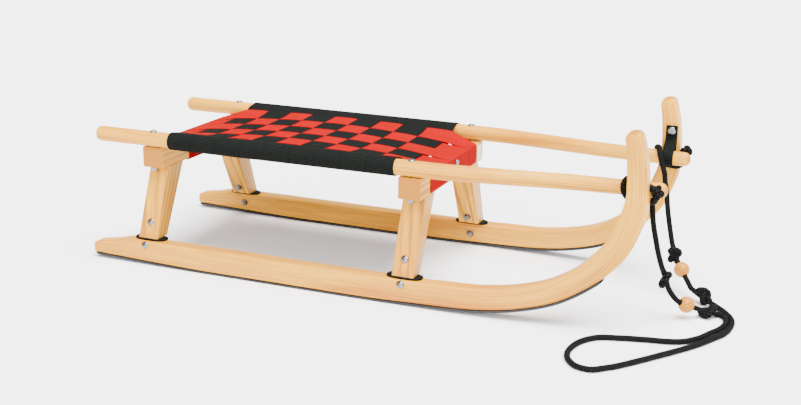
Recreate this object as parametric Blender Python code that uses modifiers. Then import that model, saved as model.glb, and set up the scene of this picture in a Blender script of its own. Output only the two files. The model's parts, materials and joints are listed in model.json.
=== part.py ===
"""Wooden horn sled with a woven webbing seat and a braided pull rope.

Metres, +X forward, +Y to the sled's left, +Z up.
The origin lies on the ground, under the middle of the sled.
"""
import math

import bmesh
import bpy
from mathutils import Matrix, Vector

# General clearance
GAP = 0.0003                     # between pieces that touch

# Crossbeams
REAR_BEAM_X = -0.4058
FRONT_BEAM_X = 0.1065
BEAM_WIDTH = 0.0425              # along X
BEAM_HEIGHT = 0.0386
BEAM_LENGTH = 0.330
BEAM_EASING = 0.002              # rounding of the long edges

# Rails
RAIL_DIAMETER = 0.029
RAIL_TIP_DIAMETER = 0.025        # at the front end
RAIL_REAR_OVERHANG = 0.1242      # behind the rear beam's middle
RAIL_FRONT_REACH = 0.4235        # ahead of the front beam's middle
RAIL_INSET_REAR = 0.007          # rail's axis, from the rear beam's end
RAIL_INSET_FRONT = 0.0098        # rail's axis, from the front beam's end
RAIL_BEND_START = 0.032          # ahead of the front beam's middle
RAIL_BEND = ((0.0, 0.0), (0.12, 0.0127), (0.24, 0.0308), (0.375, 0.0398))   # run, shift inwards
RAIL_END_LENGTH = 0.011          # of the rounded ends

# Legs
LEG_LENGTH = 0.129               # from the foot to the beam
LEG_BREADTH = 0.040              # along X
LEG_TOP_WIDTH = 0.0506
LEG_FOOT_WIDTH = 0.0347
LEG_TOP_INSET = 0.0474           # middle of the top, from the beam's end
LEG_SPLAY = 0.0562               # middle of the foot, outside the middle of the top
LEG_EASING = 0.0018
TENON_SHOULDER = 0.008
TENON_LENGTH = 0.024

# Runners
RUNNER_WIDTH = 0.032
RUNNER_DEPTH = 0.0403
RUNNER_ROUNDING = 0.004          # of the long edges
RUNNER_OUTSET = 0.0085           # tail's middle line, outside the bearing's middle
HORN_INSET = 0.0325              # horn's middle line, inside the tail's
HORN_ROUNDING = 0.013            # length of the rounded top
TAIL_EASING = 0.0025
TAIL_END_SHARES = (0.86, 0.80)   # of the width and depth, on the tail's end face
LEVEL_BEHIND = 0.034             # the top is level from here behind the rear beam's middle
LEVEL_AHEAD = 0.034              # to here ahead of the front beam's middle
# Each row: place along X from the rear beam, rise of the underside, slimming of the depth, shift inwards
RUNNER_TAIL = (
    (-0.1152, 0.0059, 0.0205, 0.0),
    (-0.0802, 0.0050, 0.0141, 0.0),
    (-0.0340, 0.0036, 0.0036, 0.0),
    (0.0548, 0.0012, 0.0012, 0.0005),
    (0.1348, 0.0, 0.0, 0.0008),
)
# The same, from the front beam, up to the neck of the horn
RUNNER_FRONT = (
    (-0.0975, 0.0, 0.0, 0.0015),
    (0.0340, 0.0028, 0.0028, 0.0028),
    (0.0725, 0.0039, 0.0024, 0.0033),
    (0.1375, 0.0075, 0.0038, 0.0057),
    (0.2065, 0.0185, 0.0043, 0.0103),
    (0.2700, 0.0389, 0.0043, 0.0172),
    (0.3085, 0.0612, 0.0043, 0.0229),
    (0.3490, 0.0945, 0.0010, 0.0273),
    (0.3760, 0.1275, 0.0003, 0.0300),
    (0.3910, 0.1647, 0.0008, 0.0315),
)
# Each row: place along X from the front beam, rise of the front face, slimming; the horn stands upright
HORN_PROFILE = (
    (0.4000, 0.1957, 0.0018),
    (0.4008, 0.2207, 0.0058),
    (0.3991, 0.2477, 0.0078),
    (0.3970, 0.2707, 0.0088),
    (0.3902, 0.3072, 0.0118),
    (0.3858, 0.3215, 0.0135),
)

# Steel runner strips and their screws
STEEL_THICKNESS = 0.004
STEEL_END_RISE = 0.0830          # rise of the underside where the strip ends
STEEL_SCREW_X = (-0.500, -0.270, -0.020, 0.215, 0.415)
STEEL_SCREW_RADIUS = 0.002
STEEL_SCREW_LENGTH = 0.020

# Rubber bearings between legs and runners
PAD_THICKNESS = 0.0038
PAD_LENGTH = 0.066
PAD_WIDTH = 0.031
PAD_SQUARENESS = 0.75            # 1 is an oval, less is nearer a rectangle
BEARING_OUTSET = 0.0042          # bearing's middle, outside the foot's middle
TONGUE_BREADTH = 0.026
TONGUE_THICKNESS = 0.009
TONGUE_MARGIN = 0.012            # past the middle of each bolt, along the tongue
LEG_BOLT_OFFSET = 0.027          # from the bearing's middle, up along the tongue
RUNNER_BOLT_OFFSET = 0.017       # and down along it

# Through-bolts
BOLT_RADIUS = 0.003
BOLT_HEAD_RADIUS = 0.0065
BOLT_HEAD_HEIGHT = 0.0032
WASHER_RADIUS = 0.0065
WASHER_THICKNESS = 0.0012
NUT_RADIUS = 0.0058              # to the corners
NUT_HEIGHT = 0.005
BOLT_TAIL = 0.0015               # bare thread past the nut
SPOT_FACE_DEPTH = 0.0008         # flat cut under a head or washer on the legs and rails
RUNNER_SPOT_FACE_DEPTH = 0.0020

# Woven seat
WEBBING_WIDTH = 0.047
WEBBING_THICKNESS = 0.0018
WEBBING_PITCH = 0.050
STRAP_ROWS = 5
BAND_COLUMNS = 9
FIRST_BAND_X = 0.0518            # ahead of the rear beam's middle
SEAT_DROP = 0.0022               # weave's middle plane at the seat's edge, below the rails' tops
SEAT_SAG = 0.0068
STRAP_MARGIN = 0.002             # strap ends, from the beam's edges
STRAP_SCREW_Y = 0.010
STRAP_SCREW_DROP = 0.0095        # below the front beam's top
STRAP_SCREW_HEAD_RADIUS = 0.006
STRAP_SCREW_HEAD_HEIGHT = 0.0026
STRAP_SCREW_RADIUS = 0.0018
STRAP_SCREW_LENGTH = 0.022
TAG_WIDTH = 0.024
TAG_HEIGHT = 0.030
TAG_THICKNESS = 0.0008
TAG_GAP = 0.0055                 # from the outer strap's edge

# Keeper straps between horns and rail ends
KEEPER_WIDTH = 0.020
KEEPER_X = 0.3838                # ahead of the front beam's middle
KEEPER_RISE = 0.0540             # top end, above the rail's axis
KEEPER_BEND_RISE = 0.020         # where the outer layer leaves the horn
KEEPER_CROSS_RISE = 0.030        # where the inner layer leaves the horn
KEEPER_SCREW_RISE = 0.0448
KEEPER_SCREW_HEAD_RADIUS = 0.0073
KEEPER_SCREW_HEAD_HEIGHT = 0.003
KEEPER_SCREW_RADIUS = 0.0022
KEEPER_SCREW_LENGTH = 0.022

# Pull rope
ROPE_DIAMETER = 0.008
ROPE_CLEARANCE = 0.0005
ROPE_STEP = 0.021                # between the points of a free stretch
KNOT_LENGTH = 0.017
KNOT_WIDTH = 0.018
KNOT_LOBE_RADIUS = 0.0058
KNOT_LOBE_OFFSET = 0.0088
BEAD_DIAMETER = 0.028
BEAD_BORE = 0.0094

# Heights and places worked out from the sizes above
UNDERSIDE_Z = STEEL_THICKNESS + GAP
RUNNER_TOP_Z = UNDERSIDE_Z + RUNNER_DEPTH
PAD_BOTTOM_Z = RUNNER_TOP_Z + GAP
BEARING_Z = PAD_BOTTOM_Z + PAD_THICKNESS / 2
FOOT_Z = PAD_BOTTOM_Z + PAD_THICKNESS + GAP
BEAM_BOTTOM_Z = FOOT_Z + LEG_LENGTH + GAP
BEAM_TOP_Z = BEAM_BOTTOM_Z + BEAM_HEIGHT
BEAM_Z = BEAM_BOTTOM_Z + BEAM_HEIGHT / 2
RAIL_RADIUS = RAIL_DIAMETER / 2
RAIL_Z = BEAM_TOP_Z + GAP + RAIL_RADIUS
SEAT_Z = RAIL_Z + RAIL_RADIUS - SEAT_DROP
LEG_TOP_Y = BEAM_LENGTH / 2 - LEG_TOP_INSET
LEG_FOOT_Y = LEG_TOP_Y + LEG_SPLAY
BEARING_Y = LEG_FOOT_Y + BEARING_OUTSET
RUNNER_Y = BEARING_Y + RUNNER_OUTSET
HORN_INNER_Y = RUNNER_Y - HORN_INSET - RUNNER_WIDTH / 2
RAIL_REAR_X = REAR_BEAM_X - RAIL_REAR_OVERHANG
RAIL_FRONT_X = FRONT_BEAM_X + RAIL_FRONT_REACH
LEG_TILT = math.atan(LEG_SPLAY / LEG_LENGTH)   # of the legs' middle lines, which the bolts stand square to
TONGUE_UP = LEG_BOLT_OFFSET + TONGUE_MARGIN
TONGUE_DOWN = RUNNER_BOLT_OFFSET + TONGUE_MARGIN
RAIL_SPREAD_REAR = BEAM_LENGTH / 2 - RAIL_INSET_REAR
RAIL_SPREAD_FRONT = BEAM_LENGTH / 2 - RAIL_INSET_FRONT
WEB_OFFSET = GAP + WEBBING_THICKNESS / 2
WEAVE_LIFT = (WEBBING_THICKNESS + GAP) / 2
ROPE_RADIUS = ROPE_DIAMETER / 2
ROPE_FLOOR_Z = ROPE_RADIUS + 0.0002
BEAM_PLACES = (("front", FRONT_BEAM_X), ("rear", REAR_BEAM_X))
SIDES = (("left", 1), ("right", -1))

# Pull rope's hitch on each rail end. Each point: place along X from the front beam, angle about
# the rail in degrees (0 outwards, 90 up), extra distance from the rail. First the cut ends above
# the stopper knot, then the turn back outside the keeper and over the rail behind it.
HITCH_ENDS = {
    "left": ((0.4195, 16, -0.0005), (0.4170, 38, 0.0050), (0.4120, 38, 0.0110)),
    "right": ((0.4165, 27, 0.0134), (0.4120, 21, 0.0122)),
}
HITCH_TURNS = (
    (0.4092, 8, 0.0106),
    (0.4085, -20, 0.0080),
    (0.4055, -45, 0.0038),
    (0.4015, -55, 0.0032),
    (0.3835, -56, 0.0033),
)
HITCH_BEHIND = {
    "left": ((0.3700, -52, 0.0032), (0.3645, -32, 0.0012), (0.3603, 0, 0.0), (0.3600, 35, 0.0),
             (0.3625, 70, 0.0)),
    "right": ((0.3670, -55, 0.0030), (0.3600, -32, 0.0010), (0.3560, 0, 0.0), (0.3553, 35, 0.0),
              (0.3585, 70, 0.0)),
}
# Then down the rail's inner side, across the keeper: places at each of the angles
HITCH_LEAVE_ANGLES = (92, 123, 150, 180, 205)
HITCH_LEAVE_EXTRA = (0.0, 0.0012, 0.0032, 0.0036, 0.0036)
HITCH_LEAVE = {
    "left": (0.3660, 0.3690, 0.3714, 0.3747, 0.3772),
    "right": (0.3640, 0.3680, 0.3735, 0.3820, 0.3895),
}
HITCH_END_RUN = 0.0030           # from the last of these places to the hitch's end
HITCH_KNOT_SIZE = (0.015, 0.014, 0.028)
HITCH_KNOT_PLACE = 0.4092        # ahead of the front beam's middle
HITCH_KNOT_OUT = 0.0272          # outside the rail's axis
HITCH_KNOT_RISE = 0.0050         # above the rail's axis
HITCH_STEP = 0.0062              # between points, along the rail's own surface
HITCH_DROP = 0.016               # end of the hitch, below the rail's axis
# Points of each hanging strand: upper stretch, knot, stretch through the bead, knot. The lobes
# are the directions in which a knot's turns stand out.
STRANDS = {
    "right": {
        "upper": ((0.5078, -0.0929, 0.1664), (0.5135, -0.0897, 0.1386), (0.5194, -0.0866, 0.1129),
                  (0.5260, -0.0829, 0.0912)),
        "knot": (0.5322, -0.0792, 0.0735),
        "lobes": ((0.45, 0.1, 0.9), (0.2, 0.9, -0.2)),
        "middle": ((0.5382, -0.0757, 0.0545), (0.5456, -0.0711, 0.0415)),
        "bead_line": ((0.5545, -0.0657, 0.0310), (0.5866, -0.0465, 0.0159)),
        "bead_place": 0.0152,
        "low_knot": (0.5975, -0.0400, 0.0108),
        "low_lobes": ((0.45, -0.85, -0.2),),
    },
    "left": {
        "upper": ((0.4912, 0.0953, 0.1954), (0.4962, 0.0916, 0.1757), (0.5011, 0.0878, 0.1459),
                  (0.5089, 0.0820, 0.1114), (0.5160, 0.0768, 0.0850)),
        "knot": (0.5225, 0.0718, 0.0685),
        "lobes": ((-1.0, 0.0, 0.25), (0.85, 0.50, 0.0)),
        "middle": (),
        "bead_line": ((0.5290, 0.0670, 0.0570), (0.5589, 0.0444, 0.0190)),
        "bead_place": 0.0165,
        "low_knot": (0.5850, 0.0240, 0.0105),
        "low_lobes": ((-0.9, 0.1, 0.2),),
    },
}
# The long bight on the ground, from the right strand's lower knot round to the left strand's
BIGHT = (
    (0.6191, -0.0293), (0.6279, -0.0365), (0.6323, -0.0505), (0.6321, -0.0770), (0.6257, -0.0987),
    (0.6167, -0.1167), (0.6011, -0.1488), (0.5770, -0.1739), (0.5545, -0.1823), (0.5316, -0.1868),
    (0.4861, -0.1985), (0.4519, -0.2117), (0.4343, -0.2330), (0.4243, -0.2638), (0.4239, -0.2938),
    (0.4334, -0.3185), (0.4500, -0.3353), (0.4705, -0.3380), (0.4899, -0.3234), (0.5327, -0.2739),
    (0.5572, -0.2414), (0.5822, -0.2077), (0.6048, -0.1737), (0.6205, -0.1445), (0.6363, -0.1124),
    (0.6428, -0.0792), (0.6405, -0.0447), (0.6303, -0.0217), (0.6160, -0.0004),
)


# Scene and materials

for old in list(bpy.data.objects):
    bpy.data.objects.remove(old, do_unlink=True)


def new_collection(name):
    collection = bpy.data.collections.new(name)
    bpy.context.scene.collection.children.link(collection)
    return collection


PARTS = new_collection("horn_sled")
CUTTERS = new_collection("cutters")


def new_material(name, colour, roughness, metallic=0.0):
    material = bpy.data.materials.new(name)
    material.use_nodes = True
    shader = material.node_tree.nodes["Principled BSDF"]
    shader.inputs["Base Color"].default_value = (*colour, 1.0)
    shader.inputs["Roughness"].default_value = roughness
    shader.inputs["Metallic"].default_value = metallic
    material.diffuse_color = (*colour, 1.0)
    return material


ASH = new_material("oiled_ash", (0.80, 0.56, 0.30), 0.45)
BEECH = new_material("beech_bead", (0.78, 0.52, 0.27), 0.40)
STEEL = new_material("dark_steel", (0.10, 0.10, 0.11), 0.35, 0.9)
ZINC = new_material("bright_zinc", (0.72, 0.73, 0.75), 0.22, 1.0)
RUBBER = new_material("black_rubber", (0.012, 0.012, 0.013), 0.75)
RED_WEB = new_material("red_webbing", (0.80, 0.045, 0.05), 0.70)
BLACK_WEB = new_material("black_webbing", (0.012, 0.014, 0.014), 0.75)
ROPE = new_material("black_rope", (0.010, 0.010, 0.012), 0.80)
TAG_CLOTH = new_material("cream_tag", (0.82, 0.76, 0.62), 0.80)


# Building blocks

def finish(obj, material, origin=(0, 0, 0), parent=None):
    """Move the object's origin to a world point, keeping its shape where it is."""
    origin = Vector(origin)
    obj.data.transform(Matrix.Translation(-origin))
    obj.location = origin
    if parent:
        obj.parent = parent
        obj.location = origin - parent.location
    obj.data.materials.clear()
    obj.data.materials.append(material)
    return obj


def mesh_object(name, bm, collection=PARTS):
    mesh = bpy.data.meshes.new(name)
    bmesh.ops.recalc_face_normals(bm, faces=bm.faces)
    bm.to_mesh(mesh)
    bm.free()
    obj = bpy.data.objects.new(name, mesh)
    collection.objects.link(obj)
    return obj


def evaluated_mesh(obj):
    bpy.context.view_layer.update()
    graph = bpy.context.evaluated_depsgraph_get()
    return bpy.data.meshes.new_from_object(obj.evaluated_get(graph))


def shade(obj, angle=35):
    obj.data.shade_smooth()
    obj.data.set_sharp_from_angle(angle=math.radians(angle))


def slopes(places, values, keep_level):
    """Slope at each point of a curve through the values; level stretches stay level if asked."""
    steps = [(values[i + 1] - values[i]) / (places[i + 1] - places[i]) for i in range(len(places) - 1)]
    result = [steps[0]]
    for i in range(1, len(places) - 1):
        before = places[i] - places[i - 1]
        after = places[i + 1] - places[i]
        mean = (steps[i - 1] * after + steps[i] * before) / (before + after)
        if keep_level and steps[i - 1] * steps[i] <= 0:
            mean = 0.0
        elif keep_level:
            limit = 3 * min(abs(steps[i - 1]), abs(steps[i]))
            mean = math.copysign(min(abs(mean), limit), mean)
        result.append(mean)
    return result + [steps[-1]]


def along(places, values, slope, place):
    """Value of the smooth curve at one place."""
    i = 0
    while i < len(places) - 2 and place > places[i + 1]:
        i += 1
    span = places[i + 1] - places[i]
    t = (place - places[i]) / span
    return ((1 + 2 * t) * (1 - t) ** 2 * values[i] + t * (1 - t) ** 2 * span * slope[i]
            + t * t * (3 - 2 * t) * values[i + 1] + t * t * (t - 1) * span * slope[i + 1])


def smooth_rows(rows, steps, measured=3, keep_level=False):
    """Rows on a smooth curve through the given ones. Distance counts the first few columns.

    steps is the number of pieces between two rows, or the length of a piece."""
    places = [0.0]
    for a, b in zip(rows, rows[1:]):
        places.append(places[-1] + math.dist(a[:measured], b[:measured]))
    columns = [[row[c] for row in rows] for c in range(len(rows[0]))]
    slope = [slopes(places, column, keep_level) for column in columns]
    if isinstance(steps, float):
        count = max(2, round(places[-1] / steps))
        wanted = [places[-1] * i / count for i in range(count + 1)]
    else:
        wanted = [places[i] + (places[i + 1] - places[i]) * k / steps
                  for i in range(len(places) - 1) for k in range(steps)] + [places[-1]]
    return [tuple(along(places, columns[c], slope[c], place) for c in range(len(columns)))
            for place in wanted]


def tube(name, points, radius, resolution=2, factors=None):
    """Round bar along a polyline; factors scale the radius at each point."""
    curve = bpy.data.curves.new(name, "CURVE")
    curve.dimensions = "3D"
    curve.bevel_depth = radius
    curve.bevel_resolution = resolution
    curve.use_fill_caps = True
    spline = curve.splines.new("POLY")
    spline.points.add(len(points) - 1)
    for i, point in enumerate(points):
        spline.points[i].co = (*point, 1.0)
        spline.points[i].radius = factors[i] if factors else 1.0
    obj = bpy.data.objects.new(name, curve)
    PARTS.objects.link(obj)
    return obj


def as_mesh(obj):
    """The curve object's surface as a mesh object with welded caps."""
    mesh = evaluated_mesh(obj)
    bm = bmesh.new()
    bm.from_mesh(mesh)
    bpy.data.meshes.remove(mesh)
    bmesh.ops.remove_doubles(bm, verts=bm.verts, dist=0.00001)
    bmesh.ops.transform(bm, matrix=obj.matrix_world, verts=bm.verts)
    name = obj.name
    curve = obj.data
    bpy.data.objects.remove(obj)
    bpy.data.curves.remove(curve)
    return mesh_object(name, bm)


def turned_mesh(profile, steps, closed=False):
    """Solid turned about Z. The profile lists (radius, height) down its outer side."""
    mesh = bpy.data.meshes.new("profile")
    points = [(radius, 0.0, height) for radius, height in profile]
    edges = [(i, i + 1) for i in range(len(points) - 1)]
    if closed:
        edges.append((len(points) - 1, 0))
    mesh.from_pydata(points, edges, [])
    blank = bpy.data.objects.new("turning_blank", mesh)
    CUTTERS.objects.link(blank)
    screw = blank.modifiers.new("Turn", "SCREW")
    screw.steps = steps
    screw.render_steps = steps
    screw.use_merge_vertices = True
    screw.merge_threshold = 0.00001
    result = evaluated_mesh(blank)
    bpy.data.objects.remove(blank)
    bpy.data.meshes.remove(mesh)
    return result


def group(name, pieces, collection=PARTS):
    """One object that holds several separate solids, each a mesh and its placing matrix."""
    bm = bmesh.new()
    for mesh, matrix in pieces:
        first = len(bm.verts)
        bm.from_mesh(mesh)
        bm.verts.ensure_lookup_table()
        bmesh.ops.transform(bm, matrix=matrix, verts=bm.verts[first:])
    return mesh_object(name, bm, collection)


def aimed(point, direction):
    """Matrix that puts a turned piece at a point with its Z axis along a direction."""
    turn = Vector(direction).to_track_quat("Z", "Y").to_matrix().to_4x4()
    return Matrix.Translation(Vector(point)) @ turn


def cut(target, cutter, name="Cut"):
    """Take the cutter out of the target."""
    cutter.hide_render = True
    cutter.display_type = "WIRE"
    boolean = target.modifiers.new(name, "BOOLEAN")
    boolean.operation = "DIFFERENCE"
    boolean.solver = "EXACT"
    boolean.object = cutter


def join(target, added, name="Join"):
    """Make one body of the target and a piece that reaches into it."""
    cut(target, added, name)
    target.modifiers[name].operation = "UNION"


def block(name, size, matrix, collection=PARTS):
    bm = bmesh.new()
    bmesh.ops.create_cube(bm, size=1.0, matrix=matrix @ Matrix.Diagonal((*size, 1.0)))
    return mesh_object(name, bm, collection)


def ribbon(name, line_a, line_b, thickness, closed=False):
    """Flat webbing or strip between two edge lines, centred on them."""
    bm = bmesh.new()
    verts = [bm.verts.new(point) for point in line_a]
    edges = [bm.edges.new(pair) for pair in zip(verts, verts[1:])]
    if closed:
        edges.append(bm.edges.new((verts[-1], verts[0])))
    made = bmesh.ops.extrude_edge_only(bm, edges=edges)["geom"]
    for vert in [item for item in made if isinstance(item, bmesh.types.BMVert)]:
        start = min(range(len(line_a)), key=lambda i: (vert.co - Vector(line_a[i])).length_squared)
        vert.co = line_b[start]
    obj = mesh_object(name, bm)
    solidify = obj.modifiers.new("Thickness", "SOLIDIFY")
    solidify.thickness = thickness
    solidify.offset = 0.0
    solidify.use_even_offset = True
    return obj


# Rails

def rail_y(x):
    """Distance of a rail's axis from the centre plane."""
    if x <= FRONT_BEAM_X:
        share = (x - REAR_BEAM_X) / (FRONT_BEAM_X - REAR_BEAM_X)
        return RAIL_SPREAD_REAR + (RAIL_SPREAD_FRONT - RAIL_SPREAD_REAR) * share
    places = [run for run, shift in RAIL_BEND]
    shifts = [shift for run, shift in RAIL_BEND]
    run = x - FRONT_BEAM_X - RAIL_BEND_START
    if run <= 0:
        return RAIL_SPREAD_FRONT
    slope = slopes(places, shifts, True)
    slope[0] = 0.0
    if run >= places[-1]:
        return RAIL_SPREAD_FRONT - shifts[-1] - slope[-1] * (run - places[-1])
    return RAIL_SPREAD_FRONT - along(places, shifts, slope, run)


def rail_radius(x):
    if x <= FRONT_BEAM_X:
        return RAIL_RADIUS
    share = (x - FRONT_BEAM_X) / RAIL_FRONT_REACH
    return RAIL_RADIUS + (RAIL_TIP_DIAMETER / 2 - RAIL_RADIUS) * share


END_ANGLES = (10, 38, 65, 90)
BEND_STEPS = 13


def rail_stations():
    """Places along X with the radius there, rounded at both ends."""
    stations = [(RAIL_REAR_X + RAIL_END_LENGTH * back, RAIL_RADIUS * share)
                for back, share in [(1 - math.cos(math.radians(a)), math.sin(math.radians(a)))
                                    for a in END_ANGLES]]
    stations += [(REAR_BEAM_X, RAIL_RADIUS), (FRONT_BEAM_X, RAIL_RADIUS)]
    start = FRONT_BEAM_X + RAIL_BEND_START
    end = RAIL_FRONT_X - RAIL_END_LENGTH
    bent = [start + (end - start) * i / BEND_STEPS for i in range(BEND_STEPS + 1)]
    stations += [(x, rail_radius(x)) for x in bent]
    tip = rail_radius(RAIL_FRONT_X)
    stations += [(RAIL_FRONT_X - RAIL_END_LENGTH * (1 - math.cos(math.radians(a))),
                  tip * math.sin(math.radians(a))) for a in reversed(END_ANGLES[:-1])]
    return stations


def make_rail(side_name, side, cutter):
    stations = rail_stations()
    points = [(x, side * rail_y(x), RAIL_Z) for x, radius in stations]
    factors = [radius / RAIL_RADIUS for x, radius in stations]
    rail = as_mesh(tube("rail_" + side_name, points, RAIL_RADIUS, 5, factors))
    finish(rail, ASH, (RAIL_REAR_X, side * rail_y(RAIL_REAR_X), RAIL_Z))
    shade(rail)
    cut(rail, cutter)
    return rail


# Fasteners

def dome(radius, height, base):
    """Profile of a round head, from its crown down to its rim."""
    return [(radius * math.sin(math.radians(a)), base + height * math.cos(math.radians(a)))
            for a in (0, 40, 70, 90)]


def bolt_mesh(grip):
    """Carriage bolt with its washer and nut as one piece.

    The head's seat is at z = 0, the nut's at -grip.
    """
    washer_top = -grip - GAP
    washer_bottom = washer_top - WASHER_THICKNESS
    end = washer_bottom - NUT_HEIGHT - BOLT_TAIL
    profile = dome(BOLT_HEAD_RADIUS, BOLT_HEAD_HEIGHT, GAP)
    profile += [(BOLT_RADIUS, GAP), (BOLT_RADIUS, washer_top), (WASHER_RADIUS, washer_top),
                (WASHER_RADIUS, washer_bottom), (BOLT_RADIUS, washer_bottom), (BOLT_RADIUS, end),
                (0.0, end)]
    nut = bmesh.new()
    sunk = WASHER_THICKNESS / 2
    middle = washer_bottom + (sunk - NUT_HEIGHT) / 2
    bmesh.ops.create_cone(nut, cap_ends=True, segments=6, radius1=NUT_RADIUS, radius2=NUT_RADIUS,
                          depth=NUT_HEIGHT + sunk, matrix=Matrix.Translation((0, 0, middle)))
    nut = mesh_object("nut", nut, CUTTERS)
    bolt = bpy.data.objects.new("bolt", turned_mesh(profile, 8))
    CUTTERS.objects.link(bolt)
    join(bolt, nut)
    mesh = evaluated_mesh(bolt)
    for blank in (bolt, nut):
        bpy.data.objects.remove(blank)
    mesh.shade_smooth()
    mesh.set_sharp_from_angle(angle=math.radians(35))
    return mesh


def bolt_hole(grip, room=0.02):
    """Cutter for a bolt whose head seats at z = 0: bore, and spot faces at both ends."""
    bore = BOLT_RADIUS + GAP
    head = BOLT_HEAD_RADIUS + 2 * GAP
    nut = WASHER_RADIUS + 2 * GAP
    return turned_mesh([(0.0, room), (head, room), (head, 0.0), (bore, 0.0), (bore, -grip),
                        (nut, -grip), (nut, -grip - room), (0.0, -grip - room)], 10)


def screw_mesh(head_radius, head_height, radius, length):
    """Round-head screw with its seat at z = 0."""
    profile = dome(head_radius, head_height, GAP)
    profile += [(radius, GAP), (radius, -length + 2 * radius), (0.0, -length)]
    mesh = turned_mesh(profile, 8)
    mesh.shade_smooth()
    mesh.set_sharp_from_angle(angle=math.radians(35))
    return mesh


def screw_hole(radius, length, above):
    return turned_mesh([(0.0, above), (radius + GAP, above), (radius + GAP, -length - 2 * GAP),
                        (0.0, -length - 2 * GAP)], 8)


def place_fastener(name, mesh, matrix, parent=None):
    """A fastener at its seat, turned by the matrix."""
    obj = bpy.data.objects.new(name, mesh)
    PARTS.objects.link(obj)
    if not mesh.materials:
        mesh.materials.append(ZINC)
    if parent:
        obj.parent = parent
        matrix = Matrix.Translation(-parent.location) @ matrix
    obj.location = matrix.translation
    obj.rotation_euler = matrix.to_euler()
    return obj


# Rail bolts, one at each rail and beam crossing

RAIL_SEAT_Z = RAIL_Z + RAIL_RADIUS - SPOT_FACE_DEPTH
RAIL_BOLT_GRIP = RAIL_SEAT_Z - BEAM_BOTTOM_Z


def rail_bolt_point(x, side):
    return Vector((x, side * rail_y(x), RAIL_SEAT_Z))


def make_rail_bolts():
    mesh = bolt_mesh(RAIL_BOLT_GRIP)
    for place, x in BEAM_PLACES:
        for side_name, side in SIDES:
            place_fastener("rail_bolt_%s_%s" % (place, side_name), mesh,
                           Matrix.Translation(rail_bolt_point(x, side)))


# Legs, with the tilted frame of their bearings and bolts

def bearing_frame(x, side):
    """Point in the bearing's middle, direction up the tongue, direction out along the bolts."""
    centre = Vector((x, side * BEARING_Y, BEARING_Z))
    up = Vector((0, -side * math.sin(LEG_TILT), math.cos(LEG_TILT)))
    out = Vector((0, side * math.cos(LEG_TILT), math.sin(LEG_TILT)))
    return centre, up, out


def plane_crossing(point, direction, plane_point, normal):
    """Where the line from point along direction crosses a plane."""
    share = (plane_point - point).dot(normal) / direction.dot(normal)
    return point + direction * share


def leg_bolt(x, side):
    """Head's seat, nut's seat and outward direction of a leg's bolt."""
    centre, up, out = bearing_frame(x, side)
    middle = centre + up * LEG_BOLT_OFFSET
    foot_outer = Vector((x, side * (LEG_FOOT_Y + LEG_FOOT_WIDTH / 2), FOOT_Z))
    foot_inner = Vector((x, side * (LEG_FOOT_Y - LEG_FOOT_WIDTH / 2), FOOT_Z))
    top_inner = Vector((x, side * (LEG_TOP_Y - LEG_TOP_WIDTH / 2), FOOT_Z + LEG_LENGTH))
    inner_run = top_inner - foot_inner
    inner_normal = Vector((0, inner_run.z, -inner_run.y))
    head = plane_crossing(middle, out, foot_outer, out) - out * SPOT_FACE_DEPTH
    nut = plane_crossing(middle, out, foot_inner, inner_normal) + out * SPOT_FACE_DEPTH
    return head, nut, out


def runner_bolt(x, side):
    """Head's seat, nut's seat and outward direction of a bolt through the runner."""
    centre, up, out = bearing_frame(x, side)
    middle = centre - up * RUNNER_BOLT_OFFSET
    across = Vector((0, 1, 0))
    line_y = runner_line_y(x)
    outer = Vector((x, side * (line_y + RUNNER_WIDTH / 2), 0))
    inner = Vector((x, side * (line_y - RUNNER_WIDTH / 2), 0))
    head = plane_crossing(middle, out, outer, across) - out * RUNNER_SPOT_FACE_DEPTH
    nut = plane_crossing(middle, out, inner, across) + out * RUNNER_SPOT_FACE_DEPTH
    return head, nut, out


def tongue_block(name, x, side, clearance, collection):
    """The bearing's tongue, or with a clearance the pocket that it fits."""
    centre, up, out = bearing_frame(x, side)
    length = TONGUE_UP + TONGUE_DOWN + 2 * clearance
    middle = centre + up * (TONGUE_UP - TONGUE_DOWN) / 2
    size = (TONGUE_BREADTH + 2 * clearance, TONGUE_THICKNESS + 2 * clearance, length)
    place = Matrix.Translation(middle) @ Matrix.Rotation(side * LEG_TILT, 4, "X")
    return block(name, size, place, collection)


def tenon_size(clearance):
    """The leg's tenon, or with a clearance its mortise, reaching as far down as up."""
    return (LEG_BREADTH - 2 * TENON_SHOULDER + 2 * clearance,
            LEG_TOP_WIDTH - 2 * TENON_SHOULDER + 2 * clearance, 2 * (TENON_LENGTH + clearance))


def tenon_place(x, side):
    return Matrix.Translation((x, side * LEG_TOP_Y, FOOT_Z + LEG_LENGTH))


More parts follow.
